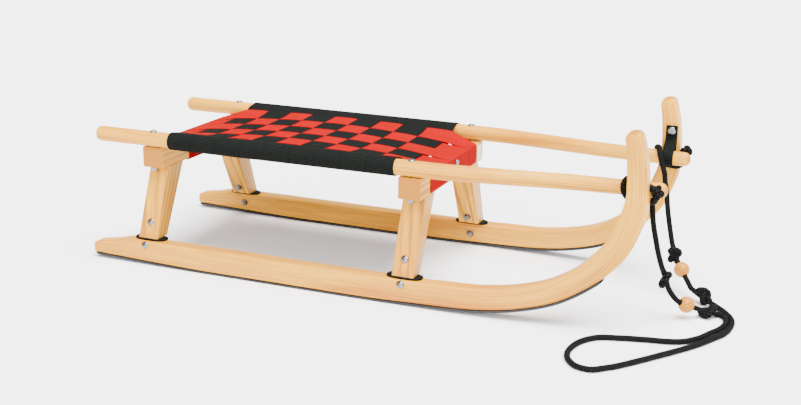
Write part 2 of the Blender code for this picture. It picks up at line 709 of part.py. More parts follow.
def make_leg(place, x, side_name, side):
    name = "leg_%s_%s" % (place, side_name)
    top = LEG_TOP_WIDTH / 2
    foot = LEG_FOOT_WIDTH / 2
    bm = bmesh.new()
    bmesh.ops.create_cube(bm, size=1.0)
    for vert in bm.verts:
        upper = vert.co.z > 0
        middle_y = LEG_TOP_Y if upper else LEG_FOOT_Y
        half = top if upper else foot
        vert.co = (x + math.copysign(LEG_BREADTH / 2, vert.co.x),
                   side * middle_y + math.copysign(half, vert.co.y),
                   FOOT_Z + (LEG_LENGTH if upper else 0.0))
    upright = [edge for edge in bm.edges if abs(edge.verts[0].co.z - edge.verts[1].co.z) > LEG_LENGTH / 2]
    bmesh.ops.bevel(bm, geom=upright, offset=LEG_EASING, segments=2, profile=0.5,
                    affect="EDGES", material=-1)
    leg = mesh_object(name, bm)
    finish(leg, ASH, (x, side * LEG_TOP_Y, FOOT_Z + LEG_LENGTH))
    shade(leg)
    join(leg, block(name + "_tenon", tenon_size(0.0), tenon_place(x, side), CUTTERS), "Tenon")
    cut(leg, tongue_block(name + "_pocket", x, side, GAP, CUTTERS), "Pocket")
    head, nut, out = leg_bolt(x, side)
    hole = group(name + "_bore", [(bolt_hole((head - nut).length), aimed(head, out))], CUTTERS)
    cut(leg, hole, "Bore")
    return leg


def make_leg_bolts():
    head, nut, out = leg_bolt(REAR_BEAM_X, 1)
    mesh = bolt_mesh((head - nut).length)
    for place, x in BEAM_PLACES:
        for side_name, side in SIDES:
            head, nut, out = leg_bolt(x, side)
            place_fastener("leg_bolt_%s_%s" % (place, side_name), mesh, aimed(head, out))


def make_bearing(place, x, side_name, side):
    """Rounded rubber pad with a tongue up into the leg and down into the runner, bored for the bolts."""
    name = "bearing_%s_%s" % (place, side_name)
    centre, up, out = bearing_frame(x, side)
    bm = bmesh.new()
    bmesh.ops.create_cone(bm, cap_ends=True, segments=24, radius1=1.0, radius2=1.0, depth=PAD_THICKNESS)
    for vert in bm.verts:
        vert.co.x = math.copysign(abs(vert.co.x) ** PAD_SQUARENESS, vert.co.x) * PAD_LENGTH / 2
        vert.co.y = math.copysign(abs(vert.co.y) ** PAD_SQUARENESS, vert.co.y) * PAD_WIDTH / 2
        vert.co += centre
    bearing = mesh_object(name, bm)
    finish(bearing, RUBBER, centre)
    join(bearing, tongue_block(name + "_tongue", x, side, 0.0, CUTTERS), "Tongue")
    bores = tongue_bores(centre, up, out)
    cut(bearing, group(name + "_bores", bores, CUTTERS), "Bores")
    return bearing


def tongue_bores(centre, up, out):
    """Two plain cylinders through the tongue, one for each bolt."""
    radius = BOLT_RADIUS + GAP
    reach = TONGUE_THICKNESS
    bore = turned_mesh([(0.0, reach), (radius, reach), (radius, -reach), (0.0, -reach)], 10)
    return [(bore, aimed(centre + up * LEG_BOLT_OFFSET, out)),
            (bore, aimed(centre - up * RUNNER_BOLT_OFFSET, out))]


# Crossbeams

def make_beam(place, x):
    beam = block("crossbeam_" + place, (BEAM_WIDTH, BEAM_LENGTH, BEAM_HEIGHT),
                 Matrix.Translation((x, 0, BEAM_Z)))
    bm = bmesh.new()
    bm.from_mesh(beam.data)
    bmesh.ops.bevel(bm, geom=bm.edges[:], offset=BEAM_EASING, segments=2, profile=0.5,
                    affect="EDGES", material=-1)
    bm.to_mesh(beam.data)
    bm.free()
    finish(beam, ASH, (x, 0, BEAM_Z))
    shade(beam)
    holes = []
    bore = turned_mesh([(0.0, BEAM_HEIGHT), (BOLT_RADIUS + GAP, BEAM_HEIGHT),
                        (BOLT_RADIUS + GAP, -BEAM_HEIGHT), (0.0, -BEAM_HEIGHT)], 12)
    for side_name, side in SIDES:
        holes.append((bore, Matrix.Translation((x, side * rail_y(x), BEAM_Z))))
    bores = group(beam.name + "_bores", holes, CUTTERS)
    cut(beam, bores, "Bolt bores")
    bm = bmesh.new()
    for side_name, side in SIDES:
        shape = Matrix.Diagonal((*tenon_size(GAP), 1.0))
        bmesh.ops.create_cube(bm, size=1.0, matrix=tenon_place(x, side) @ shape)
    cut(beam, mesh_object(beam.name + "_mortises", bm, CUTTERS), "Mortises")
    return beam


# Runners

def runner_rows():
    """Rows of x, underside height, depth and middle-line y, from the tail to the neck and up the horn."""
    rows = [(REAR_BEAM_X + run, UNDERSIDE_Z + rise, RUNNER_DEPTH - slim, RUNNER_Y - shift)
            for run, rise, slim, shift in RUNNER_TAIL]
    rows += [(FRONT_BEAM_X + run, UNDERSIDE_Z + rise, RUNNER_DEPTH - slim, RUNNER_Y - shift)
             for run, rise, slim, shift in RUNNER_FRONT]
    rows += [(FRONT_BEAM_X + run, UNDERSIDE_Z + rise, RUNNER_DEPTH - slim, RUNNER_Y - HORN_INSET)
             for run, rise, slim in HORN_PROFILE]
    return rows


def runner_stations():
    """Sections along the runner: underside point, direction along, direction up through it, depth, y."""
    rows = smooth_rows(runner_rows(), 2, measured=2, keep_level=True)
    level_start = REAR_BEAM_X - LEVEL_BEHIND
    level_end = FRONT_BEAM_X + LEVEL_AHEAD
    stations = []
    for i, (x, z, depth, y) in enumerate(rows):
        if level_start <= x <= level_end:
            depth = RUNNER_TOP_Z - z
        before = rows[max(i - 1, 0)]
        after = rows[min(i + 1, len(rows) - 1)]
        run = Vector((after[0] - before[0], 0, after[1] - before[1])).normalized()
        stations.append((Vector((x, 0, z)), run, Vector((-run.z, 0, run.x)), depth, y))
    return stations


RUNNER_STATIONS = runner_stations()


def runner_line_y(x):
    """Middle line's y where the runner's underside passes a place along X."""
    for a, b in zip(RUNNER_STATIONS, RUNNER_STATIONS[1:]):
        if a[0].x <= x <= b[0].x:
            share = (x - a[0].x) / (b[0].x - a[0].x)
            return a[4] + (b[4] - a[4]) * share
    return RUNNER_Y


def section_ring(station, side, width_share=1.0, depth_share=1.0, advance=0.0):
    """Rounded rectangle across the runner at a station, scaled about its middle."""
    point, run, up, depth, y = station
    middle = point + up * depth / 2 + run * advance
    half_width = RUNNER_WIDTH / 2 * width_share
    half_depth = depth / 2 * depth_share
    corner = min(RUNNER_ROUNDING, half_width * 0.8, half_depth * 0.8)
    ring = []
    for quarter, (sy, sz) in enumerate(((1, 1), (-1, 1), (-1, -1), (1, -1))):
        for angle in (0, 45, 90):
            turn = math.radians(quarter * 90 + angle)
            across = sy * (half_width - corner) + corner * math.cos(turn)
            rise = sz * (half_depth - corner) + corner * math.sin(turn)
            ring.append(middle + up * rise + Vector((0, side * (y + across), 0)))
    return ring


HORN_DOME_ANGLES = (25, 48, 68, 84)


def make_runner(side_name, side, parent):
    """Loft through the sections, with an eased tail and a rounded horn top."""
    rings = [section_ring(RUNNER_STATIONS[0], side, *TAIL_END_SHARES)]
    rings.append(section_ring(RUNNER_STATIONS[0], side, advance=TAIL_EASING))
    rings += [section_ring(station, side) for station in RUNNER_STATIONS[1:]]
    top = RUNNER_STATIONS[-1]
    for angle in HORN_DOME_ANGLES:
        share = math.cos(math.radians(angle))
        rings.append(section_ring(top, side, share, share, HORN_ROUNDING * math.sin(math.radians(angle))))
    bm = bmesh.new()
    loops = [[bm.verts.new(point) for point in ring] for ring in rings]
    count = len(loops[0])
    for a, b in zip(loops, loops[1:]):
        for i in range(count):
            bm.faces.new((a[i], a[(i + 1) % count], b[(i + 1) % count], b[i]))
    bm.faces.new(loops[0])
    bm.faces.new(loops[-1])
    runner = mesh_object("runner_" + side_name, bm)
    finish(runner, ASH, parent.location, parent)
    shade(runner, 30)
    for place, x in BEAM_PLACES:
        cut(runner, tongue_block("runner_pocket_%s_%s" % (place, side_name), x, side, GAP, CUTTERS),
            "Pocket " + place)
        head, nut, out = runner_bolt(x, side)
        hole = group("runner_bore_%s_%s" % (place, side_name),
                     [(bolt_hole((head - nut).length), aimed(head, out))], CUTTERS)
        cut(runner, hole, "Bore " + place)
    pilot = screw_hole(STEEL_SCREW_RADIUS, STEEL_SCREW_LENGTH, STEEL_THICKNESS)
    holes = [(pilot, matrix) for matrix in steel_screw_places(side)]
    holes.append((screw_hole(KEEPER_SCREW_RADIUS, KEEPER_SCREW_LENGTH, KEEPER_SCREW_LENGTH),
                  keeper_screw_place(side)))
    cut(runner, group("runner_screw_holes_" + side_name, holes, CUTTERS), "Screw holes")
    return runner


def make_runner_bolts(side_name, side, parent):
    for place, x in BEAM_PLACES:
        head, nut, out = runner_bolt(x, side)
        place_fastener("runner_bolt_%s_%s" % (place, side_name), bolt_mesh((head - nut).length),
                       aimed(head, out), parent)


# Steel strips

def steel_line():
    """Underside stations that the strip covers."""
    top = UNDERSIDE_Z + STEEL_END_RISE
    front = FRONT_BEAM_X + KEEPER_X
    return [station for station in RUNNER_STATIONS if station[0].z <= top and station[0].x < front]


def underside_at(x, side):
    """Underside point and direction up through the runner at a place along X."""
    for a, b in zip(RUNNER_STATIONS, RUNNER_STATIONS[1:]):
        if a[0].x <= x <= b[0].x:
            share = (x - a[0].x) / (b[0].x - a[0].x)
            run = (b[0] - a[0]).normalized()
            point = a[0].lerp(b[0], share)
            y = a[4] + (b[4] - a[4]) * share
            return Vector((x, side * y, point.z)), Vector((-run.z, 0, run.x))
    return None


def steel_screw_places(side):
    """Matrices with the origin on the strip's lower face and Z pointing out of it."""
    places = []
    for x in STEEL_SCREW_X:
        point, up = underside_at(x, side)
        places.append(aimed(point - up * (GAP + STEEL_THICKNESS), -up))
    return places


def make_steel(side_name, side, parent):
    """Strip along the underside, with the shanks of its flush screws."""
    lines = ([], [])
    for point, run, up, depth, y in steel_line():
        middle = point - up * (GAP + STEEL_THICKNESS / 2)
        for line, edge in zip(lines, (-1, 1)):
            line.append(Vector((middle.x, side * y + edge * RUNNER_WIDTH / 2, middle.z)))
    steel = ribbon("runner_steel_" + side_name, lines[0], lines[1], STEEL_THICKNESS)
    finish(steel, STEEL, parent.location, parent)
    flush = -STEEL_THICKNESS / 2
    shank = turned_mesh([(0.0, flush), (STEEL_SCREW_RADIUS, flush),
                         (STEEL_SCREW_RADIUS, -STEEL_SCREW_LENGTH + 2 * STEEL_SCREW_RADIUS),
                         (0.0, -STEEL_SCREW_LENGTH)], 8)
    shanks = [(shank, matrix) for matrix in steel_screw_places(side)]
    join(steel, group("steel_screws_" + side_name, shanks, CUTTERS), "Screws")


# Woven seat

def sag(y):
    """Height of the weave's middle plane above its height at the seat's edges."""
    half = STRAP_ROWS * WEBBING_PITCH / 2
    return -SEAT_SAG * max(0.0, 1 - (y / half) ** 2)


def row_y(row):
    """Middle of a lengthwise strap; row 1 is on the left."""
    return ((STRAP_ROWS + 1) / 2 - row) * WEBBING_PITCH


def column_x(column):
    """Middle of a crosswise band; column 1 is at the rear."""
    return REAR_BEAM_X + FIRST_BAND_X + (column - 1) * WEBBING_PITCH


def band_on_top(row, column):
    return (row + column) % 2 == 1


def beam_corner(x, z, start, end, steps):
    """Webbing's middle line round an eased beam edge, between two angles in degrees."""
    reach = (BEAM_EASING + WEB_OFFSET) / math.cos(math.radians((end - start) / steps / 2))
    angles = [start + (end - start) * i / steps for i in range(steps + 1)]
    return [(x + reach * math.cos(math.radians(a)), z + reach * math.sin(math.radians(a))) for a in angles]


def strap_path(row):
    """Middle line of a lengthwise strap in X and Z, with its share of the sag, from the rear end."""
    inner = abs(row_y(row)) < LEG_TOP_Y - LEG_TOP_WIDTH
    half = BEAM_WIDTH / 2
    low = BEAM_BOTTOM_Z + BEAM_EASING
    high = BEAM_TOP_Z - BEAM_EASING
    rear = REAR_BEAM_X - half + BEAM_EASING
    rear_front = REAR_BEAM_X + half - BEAM_EASING
    front = FRONT_BEAM_X + half - BEAM_EASING
    path = []
    if inner:
        path.append((rear_front + BEAM_EASING + WEB_OFFSET, high - STRAP_MARGIN, 0.0))
        path += [(x, z, 0.0) for x, z in beam_corner(rear_front, low, 0, -90, 3)]
        path += [(x, z, 0.0) for x, z in beam_corner(rear, low, -90, -180, 3)]
    else:
        path.append((rear - BEAM_EASING - WEB_OFFSET, low + STRAP_MARGIN, 0.0))
    path += [(x, z, 0.0) for x, z in beam_corner(rear, high, 180, 112, 3)]
    for column in range(1, BAND_COLUMNS + 1):
        lift = -WEAVE_LIFT if band_on_top(row, column) else WEAVE_LIFT
        for edge in (-1, 1):
            path.append((column_x(column) + edge * WEBBING_WIDTH / 2, SEAT_Z + lift, 1.0))
    path += [(x, z, 0.0) for x, z in beam_corner(front, high, 68, 0, 3)]
    path.append((front + BEAM_EASING + WEB_OFFSET, low + STRAP_MARGIN, 0.0))
    return path


def make_strap(row):
    lines = ([], [])
    for x, z, share in strap_path(row):
        for line, edge in zip(lines, (-1, 1)):
            y = row_y(row) + edge * WEBBING_WIDTH / 2
            line.append(Vector((x, y, z + share * sag(y))))
    strap = ribbon("seat_strap_%d" % row, lines[0], lines[1], WEBBING_THICKNESS)
    finish(strap, RED_WEB, (0, row_y(row), SEAT_Z))
    return strap


BAND_ARC_STEP = 32


def circle_tangent(point, centre, radius, turn):
    """Angle in degrees of the tangent point seen from the centre; turn picks the side."""
    away = Vector(point) - Vector(centre)
    spread = math.degrees(math.acos(radius / away.length))
    return math.degrees(math.atan2(away.y, away.x)) + turn * spread


def arc(centre, radius, start, end, step):
    """Points round a circle, far enough out for their chords to clear it."""
    count = max(1, math.ceil(abs(end - start) / step))
    reach = radius / math.cos(math.radians((end - start) / count / 2))
    angles = [start + (end - start) * i / count for i in range(count + 1)]
    return [(centre[0] + reach * math.cos(math.radians(a)), centre[1] + reach * math.sin(math.radians(a)))
            for a in angles]


def band_loop(column):
    """Closed middle line of a crosswise band in Y and Z: over the seat, round both rails, back below."""
    x = column_x(column)
    over = []
    for row in range(1, STRAP_ROWS + 1):
        lift = WEAVE_LIFT if band_on_top(row, column) else -WEAVE_LIFT
        for edge in (1, -1):
            y = row_y(row) + edge * WEBBING_WIDTH / 2
            over.append((y, SEAT_Z + sag(y) + lift))
    radius = RAIL_RADIUS + WEB_OFFSET
    right = (-rail_y(x), RAIL_Z)
    left = (rail_y(x), RAIL_Z)
    right_start = circle_tangent(over[-1], right, radius, 1)
    left_end = circle_tangent(over[0], left, radius, -1)
    if right_start > 270:
        right_start -= 360
    under_right = arc(right, radius, right_start, 270, BAND_ARC_STEP)
    under_left = arc(left, radius, -90, left_end, BAND_ARC_STEP)
    return over + under_right + under_left


def make_band(column):
    x = column_x(column)
    loop = band_loop(column)
    lines = [[Vector((x + edge * WEBBING_WIDTH / 2, y, z)) for y, z in loop] for edge in (-1, 1)]
    band = ribbon("seat_band_%d" % column, lines[0], lines[1], WEBBING_THICKNESS, closed=True)
    finish(band, BLACK_WEB, (x, 0, SEAT_Z))
    return band


def make_strap_screw(strap, beam):
    """Round-head screw that holds the middle strap on the front beam's front face."""
    seat_x = FRONT_BEAM_X + BEAM_WIDTH / 2 + GAP + WEBBING_THICKNESS
    place = aimed((seat_x, STRAP_SCREW_Y, BEAM_TOP_Z - STRAP_SCREW_DROP), (1, 0, 0))
    place_fastener("strap_screw", screw_mesh(STRAP_SCREW_HEAD_RADIUS, STRAP_SCREW_HEAD_HEIGHT,
                                             STRAP_SCREW_RADIUS, STRAP_SCREW_LENGTH), place)
    hole = screw_hole(STRAP_SCREW_RADIUS, STRAP_SCREW_LENGTH, 2 * WEBBING_THICKNESS)
    hole = group("strap_screw_hole", [(hole, place)], CUTTERS)
    cut(strap, hole, "Screw hole")
    cut(beam, hole, "Screw hole")


def make_tag():
    """Small plain cloth tag on the front beam's face, beside the straps."""
    x = FRONT_BEAM_X + BEAM_WIDTH / 2 + GAP + TAG_THICKNESS / 2
    y = row_y(1) + WEBBING_WIDTH / 2 + TAG_GAP + TAG_WIDTH / 2
    tag = block("seat_tag", (TAG_THICKNESS, TAG_WIDTH, TAG_HEIGHT), Matrix.Translation((x, y, BEAM_Z)))
    finish(tag, TAG_CLOTH, (x, y, BEAM_Z))


# Keeper straps

def keeper_screw_place(side):
    """Matrix with the origin on the keeper's inner layer and Z pointing to the centre plane."""
    y = HORN_INNER_Y - 2 * (GAP + WEBBING_THICKNESS)
    point = Vector((FRONT_BEAM_X + KEEPER_X, side * y, RAIL_Z + KEEPER_SCREW_RISE))
    return aimed(point, (0, -side, 0))


def keeper_path():
    """Middle line in Y and Z on the left side: down the horn, round the rail and back to the screw."""
    x = FRONT_BEAM_X + KEEPER_X
    rail = (rail_y(x), RAIL_Z)
    radius = rail_radius(x - KEEPER_WIDTH / 2) + WEB_OFFSET + GAP
    outer_y = HORN_INNER_Y - WEB_OFFSET
    inner_y = outer_y - WEBBING_THICKNESS - GAP
    top = RAIL_Z + KEEPER_RISE
    bend = (outer_y, RAIL_Z + KEEPER_BEND_RISE)
    cross = (inner_y, RAIL_Z + KEEPER_CROSS_RISE)
    start = circle_tangent(bend, rail, radius, -1)
    end = circle_tangent(cross, rail, radius, 1)
    turn = arc(rail, radius, start, end - 360, BAND_ARC_STEP)
    return [(outer_y, top), bend] + turn + [cross, (inner_y, top)]


def make_keeper(side_name, side):
    x = FRONT_BEAM_X + KEEPER_X
    path = keeper_path()
    lines = [[Vector((x + edge * KEEPER_WIDTH / 2, side * y, z)) for y, z in path] for edge in (-1, 1)]
    keeper = ribbon("keeper_" + side_name, lines[0], lines[1], WEBBING_THICKNESS)
    finish(keeper, BLACK_WEB, (x, side * HORN_INNER_Y, RAIL_Z))
    hole = screw_hole(KEEPER_SCREW_RADIUS, KEEPER_SCREW_LENGTH, 2 * WEBBING_THICKNESS)
    cut(keeper, group("keeper_hole_" + side_name, [(hole, keeper_screw_place(side))], CUTTERS))


def make_keeper_screw(side_name, side, parent):
    mesh = screw_mesh(KEEPER_SCREW_HEAD_RADIUS, KEEPER_SCREW_HEAD_HEIGHT, KEEPER_SCREW_RADIUS,
                      KEEPER_SCREW_LENGTH)
    place_fastener("keeper_screw_" + side_name, mesh, keeper_screw_place(side), parent)


# Pull rope

def hitch_route(side_name, side):
    """From the cut end round the rail end, read as place, angle and distance, and down its inner side."""
    leave = HITCH_LEAVE[side_name]
    rows = list(HITCH_ENDS[side_name]) + list(HITCH_TURNS) + list(HITCH_BEHIND[side_name])
    rows += list(zip(leave, HITCH_LEAVE_ANGLES, HITCH_LEAVE_EXTRA))
    scaled = [(place, math.radians(angle) * RAIL_RADIUS, extra) for place, angle, extra in rows]
    points = []
    for place, turn, extra in smooth_rows(scaled, HITCH_STEP, measured=2):
        x = FRONT_BEAM_X + place
        reach = rail_radius(x) + ROPE_RADIUS + ROPE_CLEARANCE + extra
        angle = turn / RAIL_RADIUS
        y = rail_y(x) + reach * math.cos(angle)
        points.append(Vector((x, side * y, RAIL_Z + reach * math.sin(angle))))
    end_x = FRONT_BEAM_X + leave[-1] + HITCH_END_RUN
    points.append(Vector((end_x, side * (rail_y(end_x) - reach), RAIL_Z - HITCH_DROP)))
    return points


def shortened(points, start, end):
    """The polyline with a length taken off each end, so that its end faces keep clear."""
    points = [Vector(point) for point in points]
    for amount in (start, end):
        left = amount
        while (points[1] - points[0]).length <= left:
            left -= (points[1] - points[0]).length
            points.pop(0)
        points[0] = points[0] + (points[1] - points[0]).normalized() * left
        points.reverse()
    return points


def rope_piece(name, points, knots=()):
    """A stretch of rope, joined with the solids of the knot on it."""
    piece = tube(name, points, ROPE_RADIUS)
    if not knots:
        piece.data.materials.append(ROPE)
        return
    piece = as_mesh(piece)
    finish(piece, ROPE, points[0])
    shade(piece, 50)
    for number, solid in enumerate(knots):
        join(piece, solid, "Knot %d" % number)


def knot_ball(name, place, size, sides=10):
    """Rounded lump, placed by a matrix."""
    ball = bmesh.new()
    bmesh.ops.create_uvsphere(ball, u_segments=sides, v_segments=sides * 2 // 3, radius=0.5,
                              matrix=place @ Matrix.Diagonal((*size, 1.0)))
    return mesh_object(name, ball, CUTTERS)


def overhand_knot(name, centre, direction, lobes):
    """A squat ball along the rope, with its turns standing out of it as lobes."""
    solids = [knot_ball(name + "_knot", aimed(centre, direction), (KNOT_WIDTH, KNOT_WIDTH, KNOT_LENGTH))]
    for number, lobe in enumerate(lobes):
        place = Vector(centre) + Vector(lobe).normalized() * KNOT_LOBE_OFFSET
        solids.append(knot_ball("%s_lobe_%d" % (name, number), Matrix.Translation(place),
                                (2 * KNOT_LOBE_RADIUS,) * 3, 8))
    return solids


def stopper_knot(name, side):
    """The hitch's knot, outside the rail and just ahead of the horn."""
    x = FRONT_BEAM_X + HITCH_KNOT_PLACE
    place = Matrix.Translation((x, side * (rail_y(x) + HITCH_KNOT_OUT), RAIL_Z + HITCH_KNOT_RISE))
    return [knot_ball(name + "_knot", place, HITCH_KNOT_SIZE)]


def make_bead(side_name, centre, direction):
    """Round wooden bead bored for the rope."""
    radius = BEAD_DIAMETER / 2
    bore = BEAD_BORE / 2
    mouth = math.degrees(math.asin(bore / radius))
    angles = [mouth + (180 - 2 * mouth) * i / 8 for i in range(9)]
    profile = [(radius * math.sin(math.radians(a)), radius * math.cos(math.radians(a))) for a in angles]
    bead = bpy.data.objects.new("bead_" + side_name, turned_mesh(profile, 14, closed=True))
    PARTS.objects.link(bead)
    bead.data.materials.append(BEECH)
    bead.location = centre
    bead.rotation_euler = Vector(direction).to_track_quat("Z", "Y").to_euler()
    shade(bead)


def make_strand(side_name, side):
    """One side of the rope: hitch, upper stretch with its knot, stretch through the bead with its knot."""
    strand = STRANDS[side_name]
    hitch = hitch_route(side_name, side)
    rope_piece("rope_hitch_" + side_name, hitch, stopper_knot("rope_hitch_" + side_name, side))
    knot = Vector(strand["knot"])
    low_knot = Vector(strand["low_knot"])
    bead_start, bead_end = [Vector(point) for point in strand["bead_line"]]
    lead = hitch[-1] + (hitch[-1] - hitch[-2]).normalized() * ROPE_DIAMETER
    upper = smooth_rows([tuple(lead)] + list(strand["upper"]) + [tuple(knot)], ROPE_STEP)
    upper = shortened([hitch[-1]] + [Vector(p) for p in upper], GAP, 0.0)
    name = "rope_upper_" + side_name
    rope_piece(name, upper, overhand_knot(name, knot, knot - upper[-2], strand["lobes"]))
    middle = [knot] + [Vector(point) for point in strand["middle"]] + [bead_start]
    if strand["middle"]:
        middle = [Vector(p) for p in smooth_rows([tuple(p) for p in middle], ROPE_STEP)]
    middle = shortened(middle + [bead_end, low_knot], KNOT_LENGTH / 2 + GAP, 0.0)
    name = "rope_middle_" + side_name
    rope_piece(name, middle, overhand_knot(name, low_knot, low_knot - bead_end, strand["low_lobes"]))
    bead_axis = (bead_end - bead_start).normalized()
    make_bead(side_name, bead_start + bead_axis * strand["bead_place"], bead_axis)


def make_bight():
    """The long loop on the ground between the two lower knots."""
    ends = [STRANDS[side_name]["low_knot"] for side_name in ("right", "left")]
    ground = [(x, y, ROPE_FLOOR_Z) for x, y in BIGHT]
    points = smooth_rows([ends[0]] + ground + [ends[1]], ROPE_STEP)
    points = [Vector((x, y, max(z, ROPE_FLOOR_Z))) for x, y, z in points]
    rope_piece("rope_bight", shortened(points, KNOT_WIDTH / 2 + GAP, KNOT_WIDTH / 2 + GAP))


# The whole sled

def make_pivot(side_name, side):
    """Empty on the tilting axis of a runner, along the middles of its two bearings."""
    pivot = bpy.data.objects.new("runner_pivot_" + side_name, None)
    pivot.location = (0, side * BEARING_Y, BEARING_Z)
    PARTS.objects.link(pivot)
    return pivot


def main():
    beams = {place: make_beam(place, x) for place, x in BEAM_PLACES}
    rail_hole = bolt_hole(RAIL_BOLT_GRIP)
    for side_name, side in SIDES:
        holes = [(rail_hole, Matrix.Translation(rail_bolt_point(x, side))) for place, x in BEAM_PLACES]
        make_rail(side_name, side, group("rail_bores_" + side_name, holes, CUTTERS))
        pivot = make_pivot(side_name, side)
        make_runner(side_name, side, pivot)
        make_steel(side_name, side, pivot)
        make_runner_bolts(side_name, side, pivot)
        make_keeper_screw(side_name, side, pivot)
        make_keeper(side_name, side)
        for place, x in BEAM_PLACES:
            make_leg(place, x, side_name, side)
            make_bearing(place, x, side_name, side)
    make_rail_bolts()
    make_leg_bolts()
    straps = [make_strap(row) for row in range(1, STRAP_ROWS + 1)]
    for column in range(1, BAND_COLUMNS + 1):
        make_band(column)
    make_strap_screw(straps[STRAP_ROWS // 2], beams["front"])
    make_tag()
    for side_name, side in SIDES:
        make_strand(side_name, side)
    make_bight()


main()
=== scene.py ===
"""Finished look of a wooden horn sled with a woven webbing seat and a braided pull rope.

Metres, +X forward, +Y to the sled's left, +Z up, the floor at z = 0.
"""

import json
import math

import bmesh
import bpy
from mathutils import Matrix, Vector


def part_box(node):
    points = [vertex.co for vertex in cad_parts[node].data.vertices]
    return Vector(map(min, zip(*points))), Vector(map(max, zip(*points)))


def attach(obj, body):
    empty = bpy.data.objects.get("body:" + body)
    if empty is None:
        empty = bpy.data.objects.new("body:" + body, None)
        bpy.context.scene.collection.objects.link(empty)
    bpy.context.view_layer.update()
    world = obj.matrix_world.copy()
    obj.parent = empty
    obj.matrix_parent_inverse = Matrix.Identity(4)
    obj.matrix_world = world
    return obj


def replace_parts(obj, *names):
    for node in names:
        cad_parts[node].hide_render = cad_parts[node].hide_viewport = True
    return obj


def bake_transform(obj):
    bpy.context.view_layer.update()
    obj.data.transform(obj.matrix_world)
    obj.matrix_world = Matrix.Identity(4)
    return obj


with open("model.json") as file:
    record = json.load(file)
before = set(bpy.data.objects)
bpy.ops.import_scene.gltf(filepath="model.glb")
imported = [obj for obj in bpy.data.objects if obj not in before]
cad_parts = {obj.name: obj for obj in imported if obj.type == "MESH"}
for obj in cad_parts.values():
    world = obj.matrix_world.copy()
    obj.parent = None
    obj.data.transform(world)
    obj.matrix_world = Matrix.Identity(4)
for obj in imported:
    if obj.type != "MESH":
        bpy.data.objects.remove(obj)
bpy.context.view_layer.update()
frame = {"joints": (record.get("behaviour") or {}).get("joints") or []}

SIDES = (("left", 1), ("right", -1))
PLACES = ("front", "rear")


def middle(node):
    """Middle of a CAD node's box."""
    low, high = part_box(node)
    return (low + high) / 2


# Crossbeams and rails, as the frame has them
BEAM_X = {place: middle("crossbeam_" + place).x for place in PLACES}
beam_low, beam_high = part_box("crossbeam_front")
BEAM_HALF_WIDTH = (beam_high.x - beam_low.x) / 2
BEAM_BOTTOM_Z = beam_low.z
BEAM_TOP_Z = beam_high.z
BEAM_EASING = 0.002
rail_low, rail_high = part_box("rail_left")
RAIL_Z = (rail_low.z + rail_high.z) / 2
RAIL_RADIUS = (rail_high.z - rail_low.z) / 2
RAIL_TIP_RADIUS = 0.0125
RAIL_BEND_START = 0.032          # ahead of the front beam's middle
RAIL_BEND = ((0.0, 0.0), (0.12, 0.0127), (0.24, 0.0308), (0.375, 0.0398))   # run, shift inwards
RAIL_END_LENGTH = 0.011
RAIL_SIDES = 48
RAIL_STEP = 0.008
GAP = 0.0003

# Runners: each row is a place along X, rise of the underside, slimming of the depth, shift inwards
RUNNER_WIDTH = 0.032
RUNNER_DEPTH = 0.0403
RUNNER_ROUNDING = 0.004
HORN_INSET = 0.0325
HORN_ROUNDING = 0.013
HORN_DOME_ANGLES = (12, 25, 37, 48, 58, 67, 75, 82, 87)
TAIL_EASING = 0.0025
TAIL_END_SHARES = (0.86, 0.80)
RUNNER_LEVEL = 0.034             # the top is level to here behind and ahead of the beams' middles
RUNNER_TAIL = (
    (-0.1152, 0.0059, 0.0205, 0.0),
    (-0.0802, 0.0050, 0.0141, 0.0),
    (-0.0340, 0.0036, 0.0036, 0.0),
    (0.0548, 0.0012, 0.0012, 0.0005),
    (0.1348, 0.0, 0.0, 0.0008),
)
RUNNER_FRONT = (
    (-0.0975, 0.0, 0.0, 0.0015),
    (0.0340, 0.0028, 0.0028, 0.0028),
    (0.0725, 0.0039, 0.0024, 0.0033),
    (0.1375, 0.0075, 0.0038, 0.0057),
    (0.2065, 0.0185, 0.0043, 0.0103),
    (0.2700, 0.0389, 0.0043, 0.0172),
    (0.3085, 0.0612, 0.0043, 0.0229),
    (0.3490, 0.0945, 0.0010, 0.0273),
    (0.3760, 0.1275, 0.0003, 0.0300),
    (0.3910, 0.1647, 0.0008, 0.0315),
)
HORN_PROFILE = (
    (0.4000, 0.1957, 0.0018, HORN_INSET),
    (0.4008, 0.2207, 0.0058, HORN_INSET),
    (0.3991, 0.2477, 0.0078, HORN_INSET),
    (0.3970, 0.2707, 0.0088, HORN_INSET),
    (0.3902, 0.3072, 0.0118, HORN_INSET),
    (0.3858, 0.3215, 0.0135, HORN_INSET),
)
runner_low, runner_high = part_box("runner_left")
UNDERSIDE_Z = runner_low.z
RUNNER_Y = runner_high.y - RUNNER_WIDTH / 2
HORN_INNER_Y = RUNNER_Y - HORN_INSET - RUNNER_WIDTH / 2

# Steel strips
STEEL_THICKNESS = 0.004
STEEL_END_RISE = 0.0830
STEEL_SCREW_X = (-0.500, -0.270, -0.020, 0.215, 0.415)
STEEL_SCREW_HEAD_RADIUS = 0.0042
STEEL_SCREW_LENGTH = 0.020

# Rubber bearings
PAD_LENGTH = 0.066
PAD_WIDTH = 0.031
PAD_THICKNESS = 0.0038
PAD_SQUARENESS = 0.75
PAD_ROLL = 0.0016                # by which the rim's edges draw in
PAD_COLUMNS = 64
TONGUE_BREADTH = 0.026
TONGUE_THICKNESS = 0.009
TONGUE_UP = 0.039
TONGUE_DOWN = 0.029
LEG_TILT = math.atan(0.0562 / 0.129)
tilt_joint = next(joint for joint in frame["joints"] if joint["name"] == "runner_left_tilt")
BEARING_Y = tilt_joint["pos_m"][1]
BEARING_Z = tilt_joint["pos_m"][2]
LEG_BOLT_OFFSET = 0.027
RUNNER_BOLT_OFFSET = 0.017

